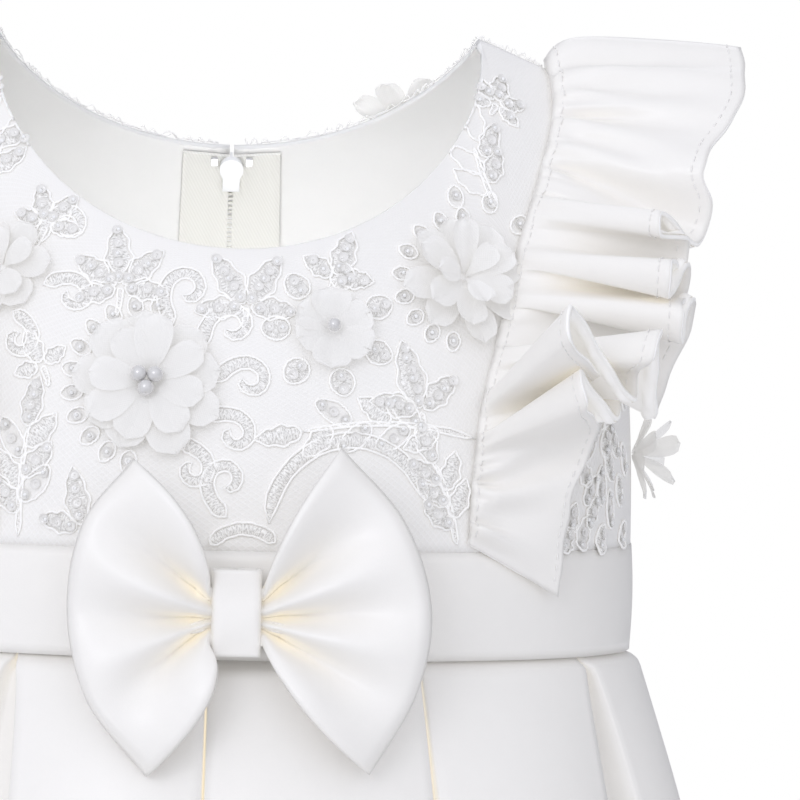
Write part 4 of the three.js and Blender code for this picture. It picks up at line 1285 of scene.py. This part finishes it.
def lace(name, motifs, back, nodes, seed):
    """The cords, satin stitch, sequins and beads of one panel's motifs."""
    patches = [patch_at(motif.x, motif.drop, back) for motif in motifs]

    def cords(bm, weave):
        chance = random.Random(seed)
        for motif, patch in zip(motifs, patches):
            line = outline(motif, chance)
            tube(bm, weave, [lace_spot(patch, spot, CORD_LIFT) for spot in line], CORD_RADIUS)

    def pads(bm, weave):
        for motif, patch in zip(motifs, patches):
            if motif.fill in ("stitch", "both"):
                fill_pad(bm, weave, motif, patch)

    def shining(chance):
        for motif, patch in zip(motifs, patches):
            if motif.fill in ("sequins", "both"):
                for k, spot in enumerate(sequin_spots(motif, chance)):
                    yield motif, patch, k, spot

    def sequins(bm, weave):
        chance = random.Random(seed + 1)
        for motif, patch, k, spot in shining(chance):
            lift = SEQUIN_ON_STITCH_LIFT if motif.fill == "both" else SEQUIN_LIFT
            sequin(bm, *lace_spot(patch, spot, lift), chance)

    def beads(bm, weave):
        for motif, patch, k, spot in shining(random.Random(seed + 1)):
            if k % 2 == 0:
                bead(bm, lace_spot(patch, spot, BEAD_LIFT)[0], BEAD_RADIUS, 8, 5)

    trim_piece(name + "_cord", cords, CORD, "lace_cord")
    trim_piece(name + "_stitch", pads, STITCH, "lace_cord", *nodes)
    trim_piece(name + "_sequins", sequins, SEQUIN, "lace_cord")
    trim_piece(name + "_beads", beads, BEAD, "lace_cord")


# %% [markdown]
# ## Ways to lay motifs out
# Five small functions place motifs: a ring of pods round a flower, a fan of leaves from one joint, a
# sprig with leaves along its stem, a row of curls beside a flower, and a plain arc of band. The sizes
# are round millimetres, chosen so that the lace has the kind of motifs that such lace has, in a
# layout of its own.


# %% Rings, fans, sprigs, curls and arcs
JOINT_RADIUS = 1.2
STEM_WIDTH = 1.5
LEAF_ANGLE = 48
CURL_BEND = 350


def spot_round(x, drop, radius, heading):
    """The spot at a distance from a flower or a joint, towards a heading."""
    lean = math.radians(heading)
    return x + radius * math.cos(lean), drop + radius * math.sin(lean)


def ring(x, drop, radius, first, last, count, length, width, shape="pod", fill="sequins"):
    """Motifs that point outwards round a flower."""
    for k in range(count):
        heading = lerp(first, last, k / max(count - 1, 1))
        yield Motif(*spot_round(x, drop, radius, heading), heading, length, width, 0, shape, fill)


Fan = namedtuple("Fan", "x drop heading spread leaves length width stem fill")


def fan(row):
    """Leaves that spread from one joint, the longest in the middle, and a stem behind them."""
    for k in range(row.leaves):
        side = 2 * k / (row.leaves - 1) - 1
        heading = row.heading + side * row.spread / 2
        spot = spot_round(row.x, row.drop, JOINT_RADIUS, heading)
        size = 1 - 0.3 * abs(side)
        length, width = row.length * size, row.width * (0.4 + 0.6 * size)
        yield Motif(*spot, heading, length, width, 18 * side, "leaf", row.fill)
    yield Motif(row.x, row.drop, row.heading + 180, row.stem, STEM_WIDTH, 20, "stem", "stitch")


def sprig(x, drop, heading, length, leaves, leaf_length, leaf_width, bend=20, fills=("stitch",)):
    """A stem with leaves to either side and one at its end."""
    stem = Motif(x, drop, heading, length, STEM_WIDTH, bend, "stem", "stitch")
    yield stem
    line = centreline(stem, SIDE_STEPS)
    for k in range(leaves):
        share, spot, lean = line[round((0.2 + 0.75 * k / leaves) * SIDE_STEPS)]
        side = 1 if k % 2 else -1
        turn = math.degrees(lean) + side * LEAF_ANGLE
        fill = fills[k % len(fills)]
        shape = "pod" if fill == "sequins" else "leaf"
        yield Motif(x + spot.x, drop + spot.y, turn, leaf_length, leaf_width, -side * 22, shape, fill)
    share, spot, lean = line[-1]
    tip = x + spot.x, drop + spot.y
    yield Motif(*tip, math.degrees(lean), leaf_length * 1.15, leaf_width, 8, "leaf", fills[0])


def curls(x, drop, radius, first, last, count, length, width=3.8):
    """Scrolls side by side round a flower, each curling back on itself."""
    for k in range(count):
        place = lerp(first, last, k / max(count - 1, 1))
        spot = spot_round(x, drop, radius, place)
        yield Motif(*spot, place - 45, length * (1 - 0.06 * k), width, CURL_BEND, "scroll", "stitch")


def arc(x, drop, radius, first, last, width=3.6):
    """A band along part of a circle."""
    spot = spot_round(x, drop, radius, first)
    sweep = last - first
    yield Motif(*spot, first + 90, radius * math.radians(sweep), width, sweep, "band", "stitch")


print("layouts ready")

# %% [markdown]
# ## Laying out the front
# Pods ring the large flower on its outer side and scrolls curl round its inner side. Fans of leaves run
# along the neck, sprigs climb from the waist and out to the sleeves, and arcs of band frame the bow.

# %% Lace of the front
LARGE = (-20.5, 83.5)
MIDDLE = (22, 69.5)
OUTER = (54, 57.5)
EDGE_FLOWER = (-56, 57)
FANS = [
    Fan(-28, 61, -95, 190, 5, 15, 6.6, 7, "both"),
    Fan(-46, 47, -75, 150, 4, 11, 5.4, 8, "both"),
    Fan(2, 65, -90, 175, 4, 16, 6.8, 5, "both"),
    Fan(23, 58, -70, 130, 3, 12, 6.0, 3, "both"),
    Fan(44, 89, -105, 110, 3, 17, 7.2, 6, "both"),
    Fan(62, 15, -70, 210, 5, 9, 4.8, 4, "both"),
    Fan(-62, 15, -110, 210, 5, 9, 4.8, 4, "both"),
    Fan(-36, 118, -100, 120, 3, 14, 6.0, 3, "both"),
    Fan(-46, 80, -120, 140, 3, 9, 4.8, 5, "stitch"),
]
front_lace = [motif for row in FANS for motif in fan(row)]
front_lace += [
    *ring(*LARGE, 16, -85, -255, 11, 5.6, 3.7),
    *ring(*MIDDLE, 9.5, 25, 335, 7, 7, 6, "pod", "both"),
    *ring(*OUTER, 12.5, 100, 270, 9, 5, 3.5),
    *curls(*LARGE, 15, -70, 62, 5, 28),
    *curls(*EDGE_FLOWER, 10.5, -35, 75, 3, 24, 3.6),
    *curls(-2, 116, 2, -90, -90, 1, 25),
    *arc(28, 117, 20, 185, 350),
    *arc(2, 127, 10, 220, 320, 3.0),
    *sprig(57, 95, 196, 42, 7, 10, 5, -30, ("stitch", "sequins", "sequins")),
    *sprig(53, 120, -100, 20, 5, 10, 5, -14, ("both", "stitch")),
    *sprig(-51, 120, -90, 26, 6, 11, 5.4, 8, ("both", "sequins", "stitch")),
    *sprig(62, 40, -112, 16, 4, 11, 5, 14, ("outline", "both")),
    *sprig(-62, 40, -68, 16, 4, 11, 5, -14, ("outline", "both")),
    *ring(*OUTER, 17, -95, -45, 3, 6, 4),
]
FRONT_SPRAYS = (
    "lace_neck_right",
    "lace_neck_left",
    "lace_branch_left",
    "lace_branch_right",
    "lace_waist_centre",
    "lace_side_left",
    "lace_side_right",
)
lace("front_lace", front_lace, False, FRONT_SPRAYS, 11)

# %% [markdown]
# ## Lace of the back and sides
# The photograph hides the back, so it is finished plainly: two leafy sprigs climb each back panel below
# a ring of pods, and a spray of pods covers each side below the sleeve, where the picture just shows
# it.

# %% Lace of the back and sides
back_lace = [
    motif
    for side in (1, -1)
    for motif in (
        *sprig(36 * side, 116, -90 - 18 * side, 46, 8, 11, 5, 24 * side, ("stitch", "sequins")),
        *sprig(58 * side, 118, -90 + 10 * side, 26, 5, 9, 4.4, -16 * side, ("stitch", "sequins")),
        *ring(40 * side, 36, 9, 0, 315, 8, 4.4, 3.1),
    )
]
lace("back_lace", back_lace, True, ("lace_back_left", "lace_back_right"), 23)


SPRAY_ROWS, SPRAY_COLUMNS = 7, 4
SPRAY_X, SPRAY_DROP = 79, 88
SPRAY_STEP_X, SPRAY_STEP_DROP = 5, 5.8
SPRAY_END_X = 96.5


def side_spray(side, seed):
    """Large pods and leaves scattered over the panel below the sleeve."""
    chance = random.Random(seed)
    kinds = (("pod", "sequins"), ("pod", "both"), ("leaf", "both"), ("leaf", "sequins"))
    for row in range(SPRAY_ROWS):
        for column in range(SPRAY_COLUMNS):
            x = SPRAY_X + SPRAY_STEP_X * (column + 0.5 * (row % 2)) + chance.uniform(-0.8, 0.8)
            if x > SPRAY_END_X:
                continue
            shape, fill = chance.choice(kinds)
            drop = SPRAY_DROP + SPRAY_STEP_DROP * row + chance.uniform(-1, 1)
            length, width = chance.uniform(7, 10), chance.uniform(4, 5.4)
            yield Motif(side * x, drop, chance.uniform(-140, -40), length, width, 14, shape, fill)


side_lace = [*side_spray(1, 3), *side_spray(-1, 4)]
lace("side_lace", side_lace, False, (), 37)

# %% [markdown]
# ## Chiffon flowers
# Each flower is tiers of thin petals caught in the middle, and two in front carry pearls. A petal is a
# small grid: narrow at its root, round at its tip, cupped across and lifted along. Every petal is
# turned, tilted and creased a little differently, as loose petals are.

# %% Flowers
Flower = namedtuple("Flower", "node turn drop tiers pearls")
Tier = namedtuple("Tier", "count length width lift tilt first notch", defaults=(0.04,))
LARGE_TIERS = (Tier(9, 18.5, 10.5, 0.9, 0.07, 0.2), Tier(8, 15.5, 9, 1.9, 0.16, 0.6))
SMALL_TIERS = (Tier(6, 10.2, 9, 1.0, 0.16, 0.45, 0.2),)
LONG_TIERS = (
    Tier(8, 16.5, 8.6, 0.9, 0.1, 0.1),
    Tier(6, 13, 7.8, 1.9, 0.24, 0.5),
    Tier(3, 8.5, 6.6, 2.7, 0.5, 0.9),
)
SIDE_TIERS = (Tier(7, 12.5, 8, 0.9, 0.1, 0.1), Tier(5, 9.5, 7, 1.9, 0.24, 0.5))
STAR_TIERS = (Tier(8, 12, 6, 0.4, 0.35, 0.3), Tier(6, 10, 5.6, 0.6, 0.8, 0.8))
PEEK_TIERS = (Tier(7, 14.5, 7.5, 0.9, 0.12, 0.3), Tier(5, 10, 6, 1.6, 0.3, 0.8))
FLOWERS = [
    Flower("flower_front_large", -12.4, 83, LARGE_TIERS, 3),
    Flower("flower_front_small", 13.5, 69.5, SMALL_TIERS, 1),
    Flower("flower_front_left", 35, 57, LONG_TIERS, 0),
    Flower("flower_front_right", -36.5, 57, SIDE_TIERS, 0),
    Flower("flower_side_left", 90, 100, STAR_TIERS, 0),
    Flower("flower_side_right", -90, 100, STAR_TIERS, 0),
    Flower("flower_back_left", 151, 22.5, PEEK_TIERS, 0),
    Flower("flower_back_right", -157, 52, STAR_TIERS, 0),
]
PETAL_STEPS = 9
PETAL_SIDES = 8
PETAL_FILL = 0.77
PEARL_RADIUS = 1.95
LONE_PEARL_RADIUS = 1.6


def petal_half(share):
    rise = math.sin(QUARTER * min(1, share / 0.68)) ** 0.9
    return rise * max(0.0, 1 - max(0.0, (share - 0.68) / 0.32) ** 2.2) ** 0.5 if share < 1 else 0.0


def petal(bm, weave, centre, axes, tier, heading, chance):
    side, up, out = axes
    length = tier.length * chance.uniform(0.9, 1.08)
    width = tier.width * chance.uniform(0.88, 1.1)
    tilt = tier.tilt * chance.uniform(0.6, 1.5)
    lean = chance.uniform(-0.12, 0.12)
    crease = chance.uniform(0.2, 0.7)
    radial = side * math.cos(heading) + up * math.sin(heading)
    tangent = out.cross(radial)
    made = bmesh.ops.create_grid(bm, x_segments=PETAL_STEPS, y_segments=PETAL_SIDES, size=0.5)["verts"]
    for vert in made:
        share, across = vert.co.x + 0.5, 2 * vert.co.y
        reach = length * (0.06 + 0.94 * share) * (1 - tier.notch * math.exp(-9 * across * across) * share**6)
        half = width / 2 * max(petal_half(share), 0.02)
        for loop in vert.link_loops:
            loop[weave].uv = (reach * MM, across * half * MM)
        from_root = min(1, 5 * share)
        rise = tier.lift * from_root + tilt * reach + 0.18 * (across * across - 0.4) * share * half
        rise += lean * across * half + crease * math.sin(5 * across + heading) * share * 0.5
        rise -= 0.9 * max(0, share - 0.75) ** 2 * length
        lifted = out * max(rise, 0.75 * from_root)
        vert.co = (centre + radial * reach + tangent * across * half + lifted) * MM
    smooth(made)


for number, flower in enumerate(FLOWERS):
    chance = random.Random(50 + number)
    turn = math.radians(flower.turn)
    centre = figure_point(turn, flower.drop)
    out = figure_normal(turn, flower.drop)
    side = Vector((0, 0, 1)).cross(out).normalized()
    axes = (side, out.cross(side), out)

    def petals(bm, weave):
        for tier in flower.tiers:
            for k in range(tier.count):
                heading = tier.first + (k + chance.uniform(-0.12, 0.12)) * 2 * math.pi / tier.count
                petal(bm, weave, centre, axes, tier, heading, chance)

    blossom = trim_piece(flower.node + "_petals", petals, CHIFFON, "chiffon", flower.node)
    petal_area = sum(tier.count * tier.length * tier.width * PETAL_FILL for tier in flower.tiers) * MM * MM
    strip = sum(tier.count * tier.width for tier in flower.tiers) * MM

    def pearls(bm, weave):
        spread = 0 if flower.pearls == 1 else PEARL_RADIUS * 1.16
        for k in range(flower.pearls):
            angle = 0.5 + k * 2 * math.pi / 3
            spot = axes[0] * math.cos(angle) + axes[1] * math.sin(angle)
            rise = flower.tiers[-1].lift + PEARL_RADIUS + 0.6
            radius = PEARL_RADIUS if spread else LONE_PEARL_RADIUS
            bead(bm, centre + spot * spread + out * rise, radius, 24, 14)

    if flower.pearls:
        trim_piece(flower.node + "_pearls", pearls, PEARL, "chiffon")

# %% [markdown]
# ## Edges of the lace
# The lace is cut along its own motifs, so the back neckline is a little ragged: loops of cord stand
# just above the lining. Two wavy cords on each side of the zip, with uneven waves, give that edge.

# %% Wavy edge of the back neckline
Edge = namedtuple("Edge", "first last")
EDGES = [Edge(SLIT_TURN + 0.03, 1.12), Edge(-1.12, -SLIT_TURN - 0.03)]
EDGE_TALL = 0.9
EDGE_STEPS = 260


def edge_cords(bm, weave):
    chance = random.Random(71)
    for edge in EDGES:
        for strand in range(2):
            path = []
            wave = chance.uniform(0, 6)
            for k in range(EDGE_STEPS + 1):
                side = lerp(edge.first, edge.last, k / EDGE_STEPS)
                turn = math.pi - side
                drop = top_edge(abs(side), BACK_NECK)
                wave += 0.5 + 0.3 * math.sin(k * 0.21 + strand) + chance.uniform(0, 0.35)
                clump = ease(0.5 + 0.7 * math.sin(k * 0.11 + 2.1 * strand) + 0.4 * math.sin(k * 0.31))
                above = EDGE_TALL * (0.35 + 0.9 * math.sin(wave)) * clump
                out = figure_normal(turn, drop + 1)
                point = figure_point(turn, max(drop, SHALLOWEST)) + out * (0.45 + 0.4 * strand)
                path.append((point + Vector((0, 0, above)), out))
            tube(bm, weave, path, 0.2, 4, False)


trim_piece("neck_edge_cord", edge_cords, CORD, "lace_cord")

# %% [markdown]
# ## Stitching
# Two rows of machine stitches show on each sleeve: one beside the gathered seam and one along the hem.
# A stitch is a short rounded length of thread, sunk at both ends. The loop walks along the sleeve and
# lays one about every 2.2 mm.

# %% Stitches of the sleeves
STITCH_PITCH = 2.2
STITCH_LENGTH = 1.6
STITCHED_LINES = (0.05, 0.925)
THREAD_RADIUS = 0.17
THREAD = Finish("sewing_thread", Base_Color=(0.96, 0.945, 0.915, 1), Roughness=0.55).material


def stitched_line(place, v, steps=900):
    """Points at even spacing along a line of a sleeve, with the cloth's outward direction."""
    last, walked = None, 0.0
    for k in range(4, steps - 3):
        u = k / steps
        point = place(u, v)
        if last is not None:
            walked += (point - last).length
        last = point
        if walked >= STITCH_PITCH:
            walked = 0.0
            along = place(u + 0.001, v) - place(u - 0.001, v)
            out = along.cross(place(u, v + 0.02) - place(u, v - 0.02)).normalized()
            yield point, along.normalized(), out


def sleeve_stitches(place):
    def build(bm, weave):
        for v in STITCHED_LINES:
            for point, along, out in stitched_line(place, v):
                ends = [(-0.5, -0.12), (-0.3, 0.14), (0.3, 0.14), (0.5, -0.12)]
                path = [(point + along * STITCH_LENGTH * share + out * lift, out) for share, lift in ends]
                tube(bm, weave, path, THREAD_RADIUS, 4, False)

    return build


trim_piece("ruffle_left_stitches", sleeve_stitches(ruffle_point), THREAD, "satin")
trim_piece("ruffle_right_stitches", sleeve_stitches(mirrored(ruffle_point)), THREAD, "satin")

# %% [markdown]
# ## Zip
# The zip is closed at the centre back. Its tapes, slider, pull and stops are solids of the frame, so
# they only take finishes here. The coil between the tapes is a row of small teeth, made by one loop
# along the closed seam.

# %% Zip finishes and coil
ENAMEL = Finish("white_enamel", Base_Color=(0.93, 0.93, 0.92, 1), Roughness=0.28, Coat_Weight=0.4).material
CHROME = Finish("chrome", Base_Color=(0.72, 0.72, 0.73, 1), Metallic=1.0, Roughness=0.34).material
COIL_PITCH = 1.15
COIL_TOP, COIL_END = 38.0, 146.0
TOOTH_RADIUS = 0.55
TOOTH_SHAPE = (1.9, 1.2, 0.85)


def tape_finish():
    finish = Finish("zip_tape", Specular_IOR_Level=0.3, Sheen_Weight=0.1)
    spot = finish.node("TexCoord", output=3)
    across, depth, up = finish.parts(spot)
    twill = ((across + 0.55 * up) * (2 * math.pi / 0.0008)).math("SINE") * 0.5 + 0.5
    return finish.use(
        Base_Color=finish.mix(twill, (0.885, 0.872, 0.81, 1), (0.935, 0.922, 0.865, 1)),
        Roughness=0.8 - 0.1 * twill,
        Normal=finish.bump(twill, 0.3, 0.0001),
    )


TAPE = tape_finish()
for node, finish in (
    ("zip_tape_left", TAPE),
    ("zip_tape_right", TAPE),
    ("zip_slider", ENAMEL),
    ("zip_pull", ENAMEL),
    ("zip_stop_left", CHROME),
    ("zip_stop_right", CHROME),
):
    mesh = bpy.data.objects[node].data
    mesh.materials.clear()
    mesh.materials.append(finish)


def coil(bm, weave):
    count = int((COIL_END - COIL_TOP) / COIL_PITCH)
    for k in range(count):
        drop = COIL_TOP + k * COIL_PITCH
        inside = figure_normal(math.pi, drop) * -(BODICE_WALL + SEAM_GAP + 0.5)
        point = figure_point(math.pi, drop) + inside
        made = bmesh.ops.create_uvsphere(bm, u_segments=8, v_segments=5, radius=TOOTH_RADIUS * MM)["verts"]
        bmesh.ops.scale(bm, verts=made, vec=TOOTH_SHAPE)
        bmesh.ops.translate(bm, verts=made, vec=point * MM)


trim_piece("zip_coil", coil, TAPE, "zip_tape")

# %% [markdown]
# ## Light and camera
# The photograph is a catalogue shot on pure white. The surround is brightest in front and fainter from
# above, from the left and from behind. A soft key light stands at the upper left and a weaker one
# behind, and a tiny lamp inside the bodice stands for light that comes through the back. The camera
# stands level with the chest and well back, so the near and far sides keep nearly the same scale.

# %% World, lights, floor and camera
scene = bpy.context.scene
scene.view_settings.view_transform = "Standard"
world = bpy.data.worlds.new("white_surround")
scene.world = world
world.use_nodes = True
sky = Graph(world.node_tree)
right, back, up = sky.parts(sky.node("TexCoord"))
from_front, from_left = (back * -1).math("MAXIMUM", 0.0), (right * -1).math("MAXIMUM", 0.0)
from_above = up.math("MAXIMUM", 0.0)
strength = 0.31 + 0.71 * from_front + 0.46 * from_above + 0.28 * from_left
surround = sky.node("Background", Color=(0.918, 0.932, 1.0, 1), Strength=strength)
seen = sky.node("Background", Color=(1, 1, 1, 1), Strength=1.0)
choose = sky.node("MixShader", Fac=sky.node("LightPath"))
sky.feed(choose.socket.node.inputs[1], surround)
sky.feed(choose.socket.node.inputs[2], seen)
sky.feed(world.node_tree.nodes["World Output"].inputs["Surface"], choose)


def soft_light(name, spot, aim, size, power, colour):
    light = bpy.data.lights.new(name, "AREA")
    light.size = size
    light.energy = power
    light.color = colour
    lamp = bpy.data.objects.new(name, light)
    bpy.context.collection.objects.link(lamp)
    lamp.location = spot
    lamp.rotation_euler = (Vector(aim) - Vector(spot)).to_track_quat("-Z", "Y").to_euler()
    return lamp


soft_light("key", (-0.9, -2.1, 0.8), (0, 0, -0.12), 0.9, 6.5, (0.91, 0.925, 1.0))
soft_light("rim", (0.2, 1.6, 1.3), (0, 0, -0.1), 1.2, 4, (0.93, 0.94, 1.0))
through_cloth = soft_light(
    "through_cloth", (0, -0.01, -0.105), (0, 0.06, -0.04), 0.05, 0.040, (0.97, 0.98, 1.0)
)
through_cloth.visible_camera = False

# The floor lies just below the hem
FLOOR_Z = -0.5245
floor_mesh = bpy.data.meshes.new("floor")
bm = bmesh.new()
bmesh.ops.create_grid(bm, x_segments=1, y_segments=1, size=3)
bm.to_mesh(floor_mesh)
bm.free()
floor = linked("floor", floor_mesh)
floor.location.z = FLOOR_Z
floor_mesh.materials.append(Finish("pale_floor", Base_Color=(0.9, 0.9, 0.9, 1), Roughness=0.8).material)

# The photograph's scale in millimetres to a pixel, its width, and the gown's middle and shoulders in it
PIXEL = 0.24
FRAME = 800
CENTRE_FRONT_PIXEL = 234
SHOULDER_PIXEL = 38
AIM_Y = -40
SENSOR = 36
CAMERA_DISTANCE = 2.4
CAMERA_RISE = math.radians(2.4)
CAMERA_SWING = math.radians(-2.2)
CAMERA_ROLL = math.radians(1.3)
aim_x = (FRAME / 2 - CENTRE_FRONT_PIXEL) * PIXEL
aim_z = (SHOULDER_PIXEL - FRAME / 2) * PIXEL
aim = Vector((aim_x, AIM_Y, aim_z)) * MM
before_the_gown = Vector((0, -math.cos(CAMERA_RISE), math.sin(CAMERA_RISE)))
toward_eye = Matrix.Rotation(CAMERA_SWING, 3, "Z") @ before_the_gown
eye = aim + toward_eye * CAMERA_DISTANCE
lens = bpy.data.cameras.new("catalogue_lens")
lens.sensor_width = SENSOR
lens.lens = SENSOR * CAMERA_DISTANCE / (FRAME * PIXEL * MM)
camera = bpy.data.objects.new("catalogue_camera", lens)
bpy.context.collection.objects.link(camera)
camera.location = eye
look = (aim - eye).to_track_quat("-Z", "Y").to_matrix()
camera.rotation_euler = (look @ Matrix.Rotation(CAMERA_ROLL, 3, "Z")).to_euler()
scene.camera = camera
print("lens", round(lens.lens), "mm at", CAMERA_DISTANCE, "m")
